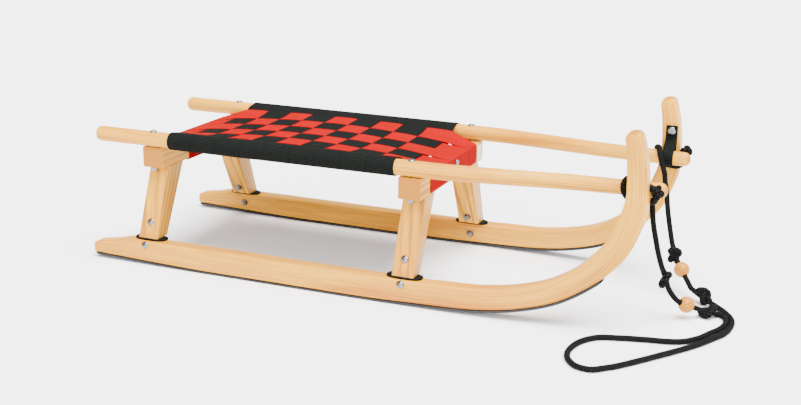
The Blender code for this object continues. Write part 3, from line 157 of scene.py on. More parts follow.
# Legs
leg_low, leg_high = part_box("leg_front_left")
LEG_BREADTH = leg_high.x - leg_low.x
LEG_TOP_WIDTH = 0.0506
LEG_FOOT_WIDTH = 0.0347
LEG_TOP_Y = leg_low.y + LEG_TOP_WIDTH / 2
LEG_FOOT_Y = leg_high.y - LEG_FOOT_WIDTH / 2
LEG_EASING = 0.0018
FOOT_Z = leg_low.z
LEG_LENGTH = BEAM_BOTTOM_Z - GAP - FOOT_Z
TENON_SHOULDER = 0.008
TENON_LENGTH = 0.024

# Bolts and screws
BOLT_HEAD_RADIUS = 0.0065
BOLT_HEAD_HEIGHT = 0.0032
BOLT_RADIUS = 0.003
WASHER_RADIUS = 0.0065
WASHER_THICKNESS = 0.0012
NUT_RADIUS = 0.0058              # over the corners
NUT_HEIGHT = 0.005
BOLT_TAIL = 0.0015               # bare thread past the nut
THREAD_PITCH = 0.0005
SPOT_FACE_RADIUS = 0.0071
SPOT_FACE_DEPTH = 0.0008
RUNNER_SPOT_FACE_DEPTH = 0.0020
STRAP_SCREW_Y = 0.010
STRAP_SCREW_DROP = 0.0095        # below the front beam's top
STRAP_SCREW_HEAD_RADIUS = 0.006

# Keeper straps
KEEPER_WIDTH = 0.020
KEEPER_THICKNESS = 0.0018
KEEPER_X = 0.3838                # ahead of the front beam's middle
KEEPER_RISE = 0.0540             # top end, above the rail's axis
KEEPER_BEND_RISE = 0.020
KEEPER_CROSS_RISE = 0.030
KEEPER_SCREW_RISE = 0.0448
KEEPER_SCREW_HEAD_RADIUS = 0.0073

# Webbing
WEBBING_PITCH = 0.050
BAND_FLAT_WIDTH = 0.0495
STRAP_WIDTH = 0.0494             # on the beams
STRAP_WOVEN_WIDTH = 0.0486
STRAP_NECK = 0.0478              # where a strap leaves the weave above the end bands
LOW_STRAP_NECK = 0.0446          # and where it leaves from below them
NECK_RUN = 0.010
WEBBING_THICKNESS = 0.0016
STRAP_THICKNESS = 0.0018         # as the frame's straps
STRAP_ROWS = 5
BAND_COLUMNS = 9
# Places along X of the edges between the bands
BAND_EDGES = (-0.3680, -0.3185, -0.2680, -0.2185, -0.1690, -0.1195, -0.0715, -0.0235, 0.0270,
              0.0785)
SEAT_Z = RAIL_Z + RAIL_RADIUS - 0.0045
SEAT_SAG = 0.0036                # in the middle, between the rails
# Place along X and depth to which the straps draw the weave down towards the beams
SEAT_DIPS = (
    (-0.3680, 0.0105), (-0.3180, 0.0062), (-0.2670, 0.0028), (-0.2180, 0.0003), (-0.1690, -0.0005),
    (-0.1190, -0.0003), (-0.0720, 0.0011), (-0.0250, 0.0040), (0.0270, 0.0079), (0.0790, 0.0138),
)
WEAVE_LIFT = 0.0011
WEB_OFFSET = 0.0012
WEBBING_STEP = 0.0025
WEBBING_CELLS = 14               # across a strap
BAND_CELLS = 12                  # across a band
BAND_GAP_SHARE = 0.0008          # of a band's width, left free at each edge
OUTER_DRAW_IN = 0.0035           # of the outer straps' outer edge, at the beams

# Pull rope
ROPE_RADIUS = 0.0045
ROPE_LINE_RADIUS = 0.004         # by which the route keeps off the rail
ROPE_CLEARANCE = 0.0005
ROPE_STEP = 0.0009
ROPE_SIDES = 36
PLAITS = 4                       # strands each way round the braid
PLAIT_PITCH = 0.0046
PLAIT_RELIEF = 0.38


# Camera, set up as the photograph's

VIEW_TARGET = Vector((0.0243, 0.0, 0.1212))
VIEW_AZIMUTH = math.radians(22.0)
VIEW_ELEVATION = math.radians(16.0967)
VIEW_ROLL = math.radians(0.8989)
VIEW_DISTANCE = 2.1670
VIEW_LENS = 52.266


def make_camera():
    back = Vector((math.sin(VIEW_AZIMUTH) * math.cos(VIEW_ELEVATION),
                   -math.cos(VIEW_AZIMUTH) * math.cos(VIEW_ELEVATION), math.sin(VIEW_ELEVATION)))
    level = Vector((math.cos(VIEW_AZIMUTH), math.sin(VIEW_AZIMUTH), 0))
    upright = back.cross(level)
    right = level * math.cos(VIEW_ROLL) + upright * math.sin(VIEW_ROLL)
    up = upright * math.cos(VIEW_ROLL) - level * math.sin(VIEW_ROLL)
    camera = bpy.data.objects.new("camera", bpy.data.cameras.new("camera"))
    camera.data.lens = VIEW_LENS
    camera.data.sensor_width = 36
    place = VIEW_TARGET + back * VIEW_DISTANCE
    turn = Matrix((right, up, back)).transposed().to_4x4()
    camera.matrix_world = Matrix.Translation(place) @ turn
    bpy.context.scene.collection.objects.link(camera)
    bpy.context.scene.camera = camera


make_camera()


def cos_of(degrees):
    return math.cos(math.radians(degrees))


def sin_of(degrees):
    return math.sin(math.radians(degrees))


def mixed(a, b, share):
    return a + (b - a) * share


# Smooth curves

def slopes(places, values, keep_level):
    """Slope at each point of a curve through the values; level stretches stay level if asked."""
    steps = [(values[i + 1] - values[i]) / (places[i + 1] - places[i])
             for i in range(len(places) - 1)]
    result = [steps[0]]
    for i in range(1, len(places) - 1):
        before = places[i] - places[i - 1]
        after = places[i + 1] - places[i]
        mean = (steps[i - 1] * after + steps[i] * before) / (before + after)
        if keep_level and steps[i - 1] * steps[i] <= 0:
            mean = 0.0
        elif keep_level:
            limit = 3 * min(abs(steps[i - 1]), abs(steps[i]))
            mean = math.copysign(min(abs(mean), limit), mean)
        result.append(mean)
    return result + [steps[-1]]


def along(places, values, slope, place):
    """Value of the smooth curve at one place."""
    i = 0
    while i < len(places) - 2 and place > places[i + 1]:
        i += 1
    span = places[i + 1] - places[i]
    t = (place - places[i]) / span
    return ((1 + 2 * t) * (1 - t) ** 2 * values[i] + t * (1 - t) ** 2 * span * slope[i]
            + t * t * (3 - 2 * t) * values[i + 1] + t * t * (t - 1) * span * slope[i + 1])


def smooth_rows(rows, step, measured=3, keep_level=False):
    """Rows a step apart on a smooth curve through the given ones, measured in the first columns."""
    places = distances([row[:measured] for row in rows])
    columns = [[row[c] for row in rows] for c in range(len(rows[0]))]
    slope = [slopes(places, column, keep_level) for column in columns]
    count = max(2, round(places[-1] / step))
    wanted = [places[-1] * i / count for i in range(count + 1)]
    return [tuple(along(places, columns[c], slope[c], place) for c in range(len(columns)))
            for place in wanted]


def distances(points):
    """Length along the polyline at each of its points."""
    result = [0.0]
    for a, b in zip(points, points[1:]):
        result.append(result[-1] + math.dist(a, b))
    return result


def finer(rows, step):
    """The rows without the last, and more of them between two that lie over a step apart."""
    result = []
    for a, b in zip(rows, rows[1:]):
        parts = max(1, math.ceil(math.dist(a[:2], b[:2]) / step))
        result += [tuple(mixed(p, q, k / parts) for p, q in zip(a, b)) for k in range(parts)]
    return result


def evenly(points, step):
    """The polyline's points spaced evenly."""
    places = distances(points)
    count = max(2, round(places[-1] / step))
    result = []
    i = 0
    for k in range(count + 1):
        place = places[-1] * k / count
        while i < len(points) - 2 and places[i + 1] < place:
            i += 1
        share = (place - places[i]) / max(places[i + 1] - places[i], 1e-9)
        result.append(Vector(points[i]).lerp(Vector(points[i + 1]), share))
    return result


def run_at(points, i):
    """Direction along the points at one of them."""
    return (points[min(i + 1, len(points) - 1)] - points[max(i - 1, 0)]).normalized()


def frames_along(points):
    """Point, direction along and two directions across, carried along without twist."""
    across = None
    result = []
    for i, point in enumerate(points):
        run = run_at(points, i)
        across = across or run.orthogonal()
        across = (across - run * across.dot(run)).normalized()
        result.append((point, run, across, run.cross(across)))
    return result


# Building of pieces

def lay_grid(columns, rows, place, flat, closed=True, height=None):
    """Grid of faces laid onto a shape.

    place(i, j) is the point of column i and row j, flat(i, j) its place on the flat piece in
    metres. A closed grid's last column is its first, and its ends are filled.
    """
    bm = bmesh.new()
    uv = bm.loops.layers.uv.new("flat")
    relief = bm.verts.layers.float.new("relief")
    bmesh.ops.create_grid(bm, x_segments=columns, y_segments=rows, size=1.0)
    cells = {vert: (round((vert.co.x + 1) / 2 * columns), round((vert.co.y + 1) / 2 * rows))
             for vert in bm.verts}
    for face in bm.faces:
        for loop in face.loops:
            loop[uv].uv = flat(*cells[loop.vert])
    for vert, (i, j) in cells.items():
        vert.co = place(i, j)
        if height:
            vert[relief] = height(i, j)
    if closed:
        bmesh.ops.remove_doubles(bm, verts=bm.verts, dist=0.000001)
        bmesh.ops.holes_fill(bm, edges=[edge for edge in bm.edges if edge.is_boundary], sides=0)
    return bm


def skin(rings):
    """Closed skin over rings of equally many points."""
    places = distances([ring[0] for ring in rings])
    sides = len(rings[0])
    girth = distances(rings[len(rings) // 2] + [rings[len(rings) // 2][0]])
    return lay_grid(sides, len(rings) - 1, lambda i, j: rings[j][i % sides],
                    lambda i, j: (places[j], girth[i]))


def turned(profile, steps=40, matrix=Matrix()):
    """Solid turned about Z from a profile of (radius, height), from one end to the other."""
    bm = bmesh.new()
    verts = [bm.verts.new((radius, 0, height)) for radius, height in profile]
    edges = [bm.edges.new(pair) for pair in zip(verts, verts[1:])]
    bmesh.ops.spin(bm, geom=verts + edges, cent=(0, 0, 0), axis=(0, 0, 1), angle=math.tau,
                   steps=steps, use_merge=True)
    bmesh.ops.remove_doubles(bm, verts=bm.verts, dist=0.000001)
    bmesh.ops.recalc_face_normals(bm, faces=bm.faces)
    bmesh.ops.transform(bm, matrix=matrix, verts=bm.verts)
    return bm


def add_to(bm, other):
    """Put the second bmesh's solid beside the first one's."""
    mesh = bpy.data.meshes.new("added")
    other.to_mesh(mesh)
    other.free()
    bm.from_mesh(mesh)
    bpy.data.meshes.remove(mesh)


def object_of(bm, name):
    bmesh.ops.recalc_face_normals(bm, faces=bm.faces)
    mesh = bpy.data.meshes.new(name)
    bm.to_mesh(mesh)
    bm.free()
    obj = bpy.data.objects.new(name, mesh)
    bpy.context.scene.collection.objects.link(obj)
    return obj


def finish_piece(obj, material, body=None, stands_for=(), sharp=40):
    """Shade the piece, give it its material and slot, and set it on its body."""
    obj.data.shade_smooth()
    obj.data.set_sharp_from_angle(angle=math.radians(sharp))
    obj.data.materials.clear()
    obj.data.materials.append(material)
    if stands_for:
        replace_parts(obj, *stands_for)
    if body:
        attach(obj, body)
    return obj


def carve(obj, bm, operation="DIFFERENCE"):
    """Take the bmesh's solid out of the object's mesh for good, or join it."""
    cutter = object_of(bm, obj.name + "_cutter")
    boolean = obj.modifiers.new("carve", "BOOLEAN")
    boolean.operation = operation
    boolean.solver = "EXACT"
    boolean.object = cutter
    bpy.context.view_layer.update()
    graph = bpy.context.evaluated_depsgraph_get()
    mesh = bpy.data.meshes.new_from_object(obj.evaluated_get(graph))
    obj.modifiers.clear()
    obj.data = mesh
    bpy.data.objects.remove(cutter)
    return obj


def aimed(point, direction):
    """Matrix that puts a turned piece at a point with its Z axis along a direction."""
    turn = Vector(direction).to_track_quat("Z", "Y").to_matrix().to_4x4()
    return Matrix.Translation(Vector(point)) @ turn


def block(size, matrix):
    """Cuboid about the matrix's origin."""
    bm = bmesh.new()
    bmesh.ops.create_cube(bm, size=1.0, matrix=matrix @ Matrix.Diagonal((*size, 1.0)))
    return bm


def rod(radius, half_length, matrix):
    """Round rod about the matrix's origin, along its Z axis."""
    return turned([(0.0, half_length), (radius, half_length), (radius, -half_length),
                   (0.0, -half_length)], matrix=matrix)


def ease_edges(bm, edges, offset):
    bmesh.ops.bevel(bm, geom=edges, offset=offset, segments=4, profile=0.5, affect="EDGES",
                    material=-1)


def arc(centre, radius, start, end, step=5, count=None):
    """Points round a circle from the start angle to the end angle, a step apart or counted."""
    count = count or max(1, math.ceil(abs(end - start) / step))
    angles = [start + (end - start) * i / count for i in range(count + 1)]
    return [(centre[0] + radius * cos_of(a), centre[1] + radius * sin_of(a)) for a in angles]


def rounded_section(half_width, half_depth, corner, angles):
    """Corner points of a rounded rectangle, as places across it and up it."""
    points = []
    for quarter, (sy, sz) in enumerate(((1, 1), (-1, 1), (-1, -1), (1, -1))):
        for angle in angles:
            turn = quarter * 90 + angle
            points.append((sy * (half_width - corner) + corner * cos_of(turn),
                           sz * (half_depth - corner) + corner * sin_of(turn)))
    return points


# Material building

def new_material(name):
    material = bpy.data.materials.new(name)
    material.use_nodes = True
    return material, material.node_tree


def set_shader(tree, **sockets):
    """Values of the Principled shader, set on its own sockets."""
    for name, value in sockets.items():
        tree.nodes["Principled BSDF"].inputs[name.replace("_", " ")].default_value = value


def finish_look(tree, colour, roughness, height, depth, strength, **sockets):
    """Lead colour, roughness and relief into the shader and set its other values."""
    shader = tree.nodes["Principled BSDF"]
    set_shader(tree, **sockets)
    tree.links.new(colour, shader.inputs["Base Color"])
    if roughness:
        tree.links.new(roughness, shader.inputs["Roughness"])
    bump = tree.nodes.new("ShaderNodeBump")
    bump.inputs["Strength"].default_value = strength
    bump.inputs["Distance"].default_value = depth
    tree.links.new(height, bump.inputs["Height"])
    tree.links.new(bump.outputs["Normal"], shader.inputs["Normal"])


def object_place(tree):
    return tree.nodes.new("ShaderNodeTexCoord").outputs["Object"]


def flat_place(tree):
    """Place on the flat piece in metres."""
    source = tree.nodes.new("ShaderNodeUVMap")
    source.uv_map = "flat"
    return source.outputs["UV"]


def stored(tree, name):
    """Outputs of an attribute that the piece carries."""
    source = tree.nodes.new("ShaderNodeAttribute")
    source.attribute_name = name
    return source.outputs


def parts_of(tree, vector):
    node = tree.nodes.new("ShaderNodeSeparateXYZ")
    tree.links.new(vector, node.inputs["Vector"])
    return node.outputs


def mapped(tree, source, scale, location=(0, 0, 0), rotation=(0, 0, 0)):
    mapping = tree.nodes.new("ShaderNodeMapping")
    for name, value in (("Scale", scale), ("Location", location), ("Rotation", rotation)):
        mapping.inputs[name].default_value = value
    tree.links.new(source, mapping.inputs["Vector"])
    return mapping.outputs["Vector"]


def mottling(tree, vector, scale, detail=4.0, roughness=0.55):
    """Noise at a scale, or stretched where the scale has three numbers."""
    if isinstance(scale, tuple):
        vector, scale = mapped(tree, vector, scale), 1.0
    texture = tree.nodes.new("ShaderNodeTexNoise")
    for name, value in (("Scale", scale), ("Detail", detail), ("Roughness", roughness)):
        texture.inputs[name].default_value = value
    tree.links.new(vector, texture.inputs["Vector"])
    return texture.outputs["Fac"]


def growth_rings(tree, vector, profile, **sockets):
    rings = tree.nodes.new("ShaderNodeTexWave")
    rings.wave_type = "RINGS"
    rings.rings_direction = "X"
    rings.wave_profile = profile
    for name, value in sockets.items():
        rings.inputs[name.replace("_", " ")].default_value = value
    tree.links.new(vector, rings.inputs["Vector"])
    return rings.outputs["Fac"]


def ramp(tree, source, *stops):
    """Colour ramp with (place, colour) stops; a number stands for a grey."""
    node = tree.nodes.new("ShaderNodeValToRGB")
    elements = node.color_ramp.elements
    while len(elements) < len(stops):
        elements.new(0.5)
    for element, (place, colour) in zip(elements, stops):
        element.position = place
        colour = (colour,) * 3 if isinstance(colour, (int, float)) else colour
        element.color = (*colour, 1.0)
    tree.links.new(source, node.inputs["Fac"])
    return node.outputs["Color"]


def feed(tree, value, socket):
    """Link a socket, or set a colour or number."""
    if isinstance(value, bpy.types.NodeSocket):
        tree.links.new(value, socket)
    else:
        socket.default_value = (*value, 1.0) if isinstance(value, tuple) else value


def blended_colour(tree, share, a, b, kind="MIX"):
    """Mix of two colours by a share; each of the three may be a socket."""
    node = tree.nodes.new("ShaderNodeMix")
    node.data_type = "RGBA"
    node.blend_type = kind
    for index, value in ((0, share), (6, a), (7, b)):
        feed(tree, value, node.inputs[index])
    return node.outputs[2]


def computed(tree, operation, *values):
    """Math node on sockets and numbers."""
    node = tree.nodes.new("ShaderNodeMath")
    node.operation = operation
    for socket, value in zip(node.inputs, values):
        feed(tree, value, socket)
    return node.outputs[0]


def multiplied(tree, *values):
    return computed(tree, "MULTIPLY", *values)


def waves(tree, place, pitch):
    """Even waves from 0 to 1, a pitch apart."""
    turn = multiplied(tree, place, math.tau / pitch)
    return computed(tree, "MULTIPLY_ADD", computed(tree, "SINE", turn), 0.5, 0.5)


# Wood

ASH_PALE = (0.74, 0.36, 0.022)
ASH_HONEY = (0.56, 0.205, 0.009)
ASH_STREAK = (0.24, 0.070, 0.004)
ASH_END = (0.38, 0.135, 0.005)
ASH_PORE = (0.16, 0.052, 0.006)
HEART_OFFSET = (0.0, 0.055, 0.035)      # of the log's heart from the timber's middle
BEECH_PALE = (0.46, 0.180, 0.008)
BEECH_FLECK = (0.24, 0.075, 0.004)


def make_ash(name, rings_scale, boldness, honey):
    """Clear-lacquered ash: growth rings stretched along the timber, fine fibres and open pores."""
    material, tree = new_material(name)
    vector = mapped(tree, stored(tree, "timber")["Vector"], (1, 1, 1), HEART_OFFSET)
    rings = growth_rings(tree, mapped(tree, vector, (0.045, 1, 1)), "SAW", Scale=rings_scale,
                         Distortion=4.2, Detail=3.0, Detail_Scale=0.9)
    fibres = mottling(tree, vector, (9, 420, 420), 5.0, 0.6)
    clouds = mottling(tree, vector, (3, 22, 22), 3.0)
    pores = mottling(tree, vector, (70, 1500, 1500), 2.0)
    bold = mottling(tree, vector, (1.5, 30, 30), 2.0)
    early = ramp(tree, rings, (0.0, 0.0), (0.42, 0.08), (0.80, 0.88), (1.0, 0.25))
    tone = blended_colour(tree, ramp(tree, clouds, (0.38, 0.0), (0.68, honey)), ASH_PALE, ASH_HONEY)
    boldness_there = ramp(tree, bold, (0.35, boldness * 0.4), (0.65, boldness))
    tone = blended_colour(tree, multiplied(tree, early, boldness_there), tone, ASH_STREAK)
    fine = ramp(tree, fibres, (0.30, 0.74), (0.62, 1.05))
    tone = blended_colour(tree, 1.0, tone, fine, "MULTIPLY")
    open_pores = multiplied(tree, ramp(tree, pores, (0.60, 0.0), (0.70, 1.0)), early)
    tone = blended_colour(tree, multiplied(tree, open_pores, 0.5), tone, ASH_PORE)
    tone = blended_colour(tree, stored(tree, "end_grain")["Fac"], tone, ASH_END)
    finish_look(tree, tone, ramp(tree, fibres, (0.2, 0.48), (0.8, 0.36)),
                computed(tree, "SUBTRACT", fibres, open_pores), 0.00012, 0.6,
                Specular_IOR_Level=0.12, Coat_Weight=0.15, Coat_Roughness=0.18, Coat_IOR=1.4)
    return material


def make_beech(name):
    """Turned and lacquered bead wood with short flecks."""
    material, tree = new_material(name)
    vector = mapped(tree, object_place(tree), (1, 1, 1), rotation=(0.3, 0.5, 0.2))
    fibres = mottling(tree, vector, (60, 900, 900), 4.0, 0.6)
    flecks = mottling(tree, vector, (220, 1400, 1400), 2.0)
    rings = growth_rings(tree, mapped(tree, vector, (0.2, 1, 1), (0, 0.02, 0.01)), "SIN", Scale=60,
                         Distortion=1.8, Detail=2.0)
    tone = blended_colour(tree, multiplied(tree, rings, 0.35), BEECH_PALE, BEECH_FLECK)
    fine = ramp(tree, fibres, (0.3, 0.88), (0.65, 1.04))
    tone = blended_colour(tree, 1.0, tone, fine, "MULTIPLY")
    tone = blended_colour(tree, ramp(tree, flecks, (0.62, 0.0), (0.72, 0.5)), tone, BEECH_FLECK)
    finish_look(tree, tone, None, fibres, 0.00008, 0.5, Specular_IOR_Level=0.15, Coat_Weight=0.25,
                Coat_Roughness=0.12, Coat_IOR=1.4, Roughness=0.38)
    return material


def mark_timber(obj, line, log=0.0):
    """Store each vertex's place along the timber and across it, for the grain to follow its bends.

    line lists (point, direction along, direction up) down the timber's middle. A log's length
    moves the pattern, so that no two timbers are alike.
    """
    places = distances([point for point, run, up in line])
    obj.data.attributes.new("timber", "FLOAT_VECTOR", "POINT")
    obj.data.attributes.new("end_grain", "FLOAT", "POINT")
    timber = obj.data.attributes["timber"]
    end_grain = obj.data.attributes["end_grain"]
    for index, vert in enumerate(obj.data.vertices):
        best = min(range(len(line)), key=lambda i: (line[i][0] - vert.co).length_squared)
        point, run, up = line[best]
        away = vert.co - point
        timber.data[index].vector = (places[best] + away.dot(run) + log, away.dot(up.cross(run)),
                                     away.dot(up))
        facing = abs(obj.data.vertex_normals[index].vector.dot(run))
        end_grain.data[index].value = max(0.0, min(1.0, (facing - 0.55) / 0.42))


# Metal, rubber and cloth

RIB_PITCH = 0.0028
YARN_PITCH = 0.0011
RIBBON_PITCH = 0.0005


def make_zinc(name):
    """Bright zinc-plated steel with faint passivation tints and handling marks."""
    material, tree = new_material(name)
    vector = object_place(tree)
    clouds = mottling(tree, vector, 220, 3.0)
    scratches = mottling(tree, vector, (300, 2600, 900), 3.0)
    tone = ramp(tree, clouds, (0.3, (0.13, 0.135, 0.145)), (0.7, (0.27, 0.275, 0.28)))
    finish_look(tree, tone, ramp(tree, scratches, (0.3, 0.16), (0.75, 0.34)), scratches, 0.00003,
                0.4, Metallic=1.0)
    return material


def make_strip_steel(name):
    """Dark rolled strip steel, brushed along its length and worn brighter where it runs."""
    material, tree = new_material(name)
    vector = object_place(tree)
    streaks = mottling(tree, vector, (12, 1400, 1400))
    clouds = mottling(tree, vector, (14, 60, 60))
    facing = parts_of(tree, tree.nodes.new("ShaderNodeNewGeometry").outputs["Normal"])
    under = ramp(tree, multiplied(tree, facing["Z"], -1.0), (0.85, 0.0), (0.98, 1.0))
    dark = ramp(tree, streaks, (0.3, (0.016, 0.016, 0.018)), (0.7, (0.045, 0.045, 0.048)))
    tone = blended_colour(tree, multiplied(tree, under, clouds), dark, (0.22, 0.22, 0.225))
    finish_look(tree, tone, ramp(tree, streaks, (0.25, 0.30), (0.75, 0.48)), streaks, 0.00005, 0.5,
                Metallic=0.85)
    return material


def make_rubber(name):
    """Black moulded rubber with a matt, faintly dusty skin."""
    material, tree = new_material(name)
    vector = object_place(tree)
    dust = mottling(tree, vector, 90)
    pebble = mottling(tree, vector, 1600, 2.0)
    tone = ramp(tree, dust, (0.35, (0.002, 0.002, 0.0021)), (0.75, (0.006, 0.006, 0.0063)))
    finish_look(tree, tone, ramp(tree, dust, (0.3, 0.42), (0.7, 0.62)), pebble, 0.00008, 0.5,
                Specular_IOR_Level=0.06)
    return material


def make_webbing(name, shaded_groove_tone, lit_crest_tone, gloss):
    """Ribbed webbing: cross ribs, lengthwise yarns that break them up, and a faint fuzz; its colour
    carries painted shade in the grooves and a painted highlight on the crests.
    """
    material, tree = new_material(name)
    flat = flat_place(tree)
    lengthwise, crosswise = [parts_of(tree, flat)[axis] for axis in ("X", "Y")]
    fuzz = mottling(tree, flat, (900, 900, 1), 3.0)
    patches = mottling(tree, flat, (18, 40, 1), 3.0)
    height = computed(tree, "MULTIPLY_ADD", waves(tree, crosswise, YARN_PITCH), 0.35,
                      waves(tree, lengthwise, RIB_PITCH))
    height = computed(tree, "MULTIPLY_ADD", fuzz, 0.5, height)
    # Painted shade and highlight: the tone runs from darker in the grooves to lighter on the crests
    # of the ribs.
    tone = ramp(tree, multiplied(tree, height, 0.55), (0.25, shaded_groove_tone), (0.85, lit_crest_tone))
    shade = ramp(tree, patches, (0.3, 0.93), (0.7, 1.05))
    tone = blended_colour(tree, 1.0, tone, shade, "MULTIPLY")
    finish_look(tree, tone, ramp(tree, fuzz, (0.2, 0.62), (0.8, 0.78)), height, 0.00035, 0.7,
                Specular_IOR_Level=gloss)
    return material


def make_rope_yarn(name):
    """Black braided polyester with fine yarns; its colour carries a painted highlight on the crowns
    of its plaits and painted shade between them.
    """
    material, tree = new_material(name)
    yarns = mottling(tree, flat_place(tree), (1500, 1500, 1), 3.0)
    crown = computed(tree, "MULTIPLY_ADD", yarns, 0.35, stored(tree, "relief")["Fac"])
    # Painted highlight and shade: lighter on the plaits' crowns, near black in the valleys between
    # them.
    tone = ramp(tree, crown, (0.50, (0.0003, 0.0003, 0.0004)), (1.15, (0.0060, 0.0057, 0.0054)))
    finish_look(tree, tone, ramp(tree, yarns, (0.2, 0.50), (0.8, 0.72)), yarns, 0.0002, 0.5)
    tree.links.new(ramp(tree, crown, (0.70, 0.0), (1.1, 0.08)),
                   tree.nodes["Principled BSDF"].inputs["Specular IOR Level"])
    return material


def make_tag_cloth(name):
    """Cream satin ribbon with a fine plain weave."""
    material, tree = new_material(name)
    flat = flat_place(tree)
    places = parts_of(tree, flat)
    threads = [computed(tree, "SINE", multiplied(tree, places[axis], math.tau / RIBBON_PITCH))
               for axis in ("X", "Y")]
    stains = mottling(tree, flat, (120, 120, 1), 3.0)
    tone = ramp(tree, stains, (0.3, (0.66, 0.52, 0.30)), (0.7, (0.78, 0.64, 0.40)))
    finish_look(tree, tone, None, multiplied(tree, *threads), 0.00008, 0.5, Sheen_Weight=0.3,
                Roughness=0.55)
    return material


ASH = make_ash("lacquered_ash", 125, 0.62, 1.0)
SAWN_ASH = make_ash("lacquered_sawn_ash", 40, 1.0, 0.35)
BEECH = make_beech("turned_beech")
ZINC = make_zinc("bright_zinc")
STEEL = make_strip_steel("strip_steel")
RUBBER = make_rubber("moulded_rubber")
RED_WEBBING = make_webbing("red_ribbed_webbing", (0.17, 0.0004, 0.0010), (0.36, 0.0008, 0.0022),
                           0.008)
BLACK_WEBBING = make_webbing("black_ribbed_webbing", (0.0004, 0.0005, 0.0004),
                             (0.0110, 0.0125, 0.0112), 0.02)
ROPE_YARN = make_rope_yarn("black_rope_yarn")
TAG_CLOTH = make_tag_cloth("cream_ribbon")


# Pull rope

HITCH_ENDS = {
    "left": ((0.4195, 16, -0.0005), (0.4170, 38, 0.0050), (0.4120, 38, 0.0110)),
    "right": ((0.4165, 27, 0.0134), (0.4120, 21, 0.0122)),
}
HITCH_TURNS = (
    (0.4092, 8, 0.0106),
    (0.4085, -20, 0.0080),
    (0.4055, -45, 0.0038),
    (0.4015, -55, 0.0032),
    (0.3835, -56, 0.0028),
)
HITCH_BEHIND = {
    "left": ((0.3700, -52, 0.0020), (0.3645, -32, 0.0), (0.3603, 0, 0.0), (0.3600, 35, 0.0),
             (0.3625, 70, 0.0)),
    "right": ((0.3670, -55, 0.0030), (0.3600, -32, 0.0010), (0.3560, 0, 0.0), (0.3553, 35, 0.0),
              (0.3585, 70, 0.0)),
}
HITCH_LEAVE_ANGLES = (92, 123, 150, 180, 205)
HITCH_LEAVE_EXTRA = (0.0, 0.0012, 0.0032, 0.0036, 0.0036)
HITCH_LEAVE = {
    "left": (0.3660, 0.3690, 0.3714, 0.3747, 0.3772),
    "right": (0.3640, 0.3680, 0.3735, 0.3820, 0.3895),
}
HITCH_END_RUN = 0.0030
HITCH_KNOT_PLACE = 0.4092        # ahead of the front beam's middle
HITCH_KNOT_OUT = 0.0272
HITCH_KNOT_RISE = 0.0050
HITCH_DROP = 0.016
STRANDS = {
    "right": {
        "upper": ((0.5078, -0.0929, 0.1664), (0.5135, -0.0897, 0.1386), (0.5194, -0.0866, 0.1129),
                  (0.5260, -0.0829, 0.0912)),
        "knot": (0.5322, -0.0792, 0.0735),
        "lobe": (0.2, 0.9, -0.2),
        "middle": ((0.5382, -0.0757, 0.0545), (0.5456, -0.0711, 0.0415)),
        "bead_line": ((0.5545, -0.0657, 0.0310), (0.5866, -0.0465, 0.0159)),
        "low_knot": (0.6005, -0.0400, 0.0104),
        "low_rise": 0.0008,
        "low_lobe": (0.45, -0.85, -0.2),
    },
    "left": {
        "upper": ((0.4912, 0.0953, 0.1954), (0.4962, 0.0916, 0.1757), (0.5011, 0.0878, 0.1459),
                  (0.5089, 0.0820, 0.1114), (0.5160, 0.0768, 0.0850)),
        "knot": (0.5225, 0.0718, 0.0685),
        "lobe": (0.85, 0.50, 0.0),
        "middle": (),
        "bead_line": ((0.5290, 0.0670, 0.0570), (0.5589, 0.0444, 0.0190)),
        "low_knot": (0.5850, 0.0240, 0.0105),
        "low_rise": 0.0062,
        "low_lobe": (0.5, 0.6, 0.2),
    },
}
BIGHT = (
    (0.6191, -0.0293), (0.6279, -0.0365), (0.6323, -0.0505), (0.6321, -0.0770), (0.6257, -0.0987),
    (0.6167, -0.1167), (0.6011, -0.1488), (0.5770, -0.1739), (0.5545, -0.1823), (0.5316, -0.1868),
    (0.4861, -0.1985), (0.4519, -0.2117), (0.4343, -0.2330), (0.4243, -0.2638), (0.4239, -0.2938),
    (0.4334, -0.3185), (0.4500, -0.3353), (0.4705, -0.3380), (0.4899, -0.3234), (0.5327, -0.2739),
    (0.5572, -0.2414), (0.5822, -0.2077), (0.6048, -0.1737), (0.6205, -0.1445), (0.6363, -0.1124),
    (0.6428, -0.0792), (0.6405, -0.0447), (0.6303, -0.0217), (0.6160, -0.0004),
)
KNOT_ROPE_RADIUS = 0.0044
KNOT_SWELL = 0.20                # by which the rope bulges in a knot's turns
KNOT_UNIT = 0.0041               # size of a knot's turns
KNOT_TURN_END = 1.85
KNOT_TAILS = (4.4, 4.4)          # reach of the rope before and after a knot, in units
STOPPER_TAILS = (2.2, 3.4)


def rail_y(x):
    """Distance of a rail's axis from the centre plane."""
    spread = {place: middle("rail_bolt_%s_left" % place).y for place in PLACES}
    if x <= BEAM_X["front"]:
        share = (x - BEAM_X["rear"]) / (BEAM_X["front"] - BEAM_X["rear"])
        return mixed(spread["rear"], spread["front"], share)
    places = [run for run, shift in RAIL_BEND]
    shifts = [shift for run, shift in RAIL_BEND]
    run = x - BEAM_X["front"] - RAIL_BEND_START
    if run <= 0:
        return spread["front"]
    slope = slopes(places, shifts, True)
    slope[0] = 0.0
    if run >= places[-1]:
        return spread["front"] - shifts[-1] - slope[-1] * (run - places[-1])
    return spread["front"] - along(places, shifts, slope, run)


def rail_radius(x):
    share = max(0.0, (x - BEAM_X["front"]) / (rail_high.x - BEAM_X["front"]))
    return mixed(RAIL_RADIUS, RAIL_TIP_RADIUS, share)


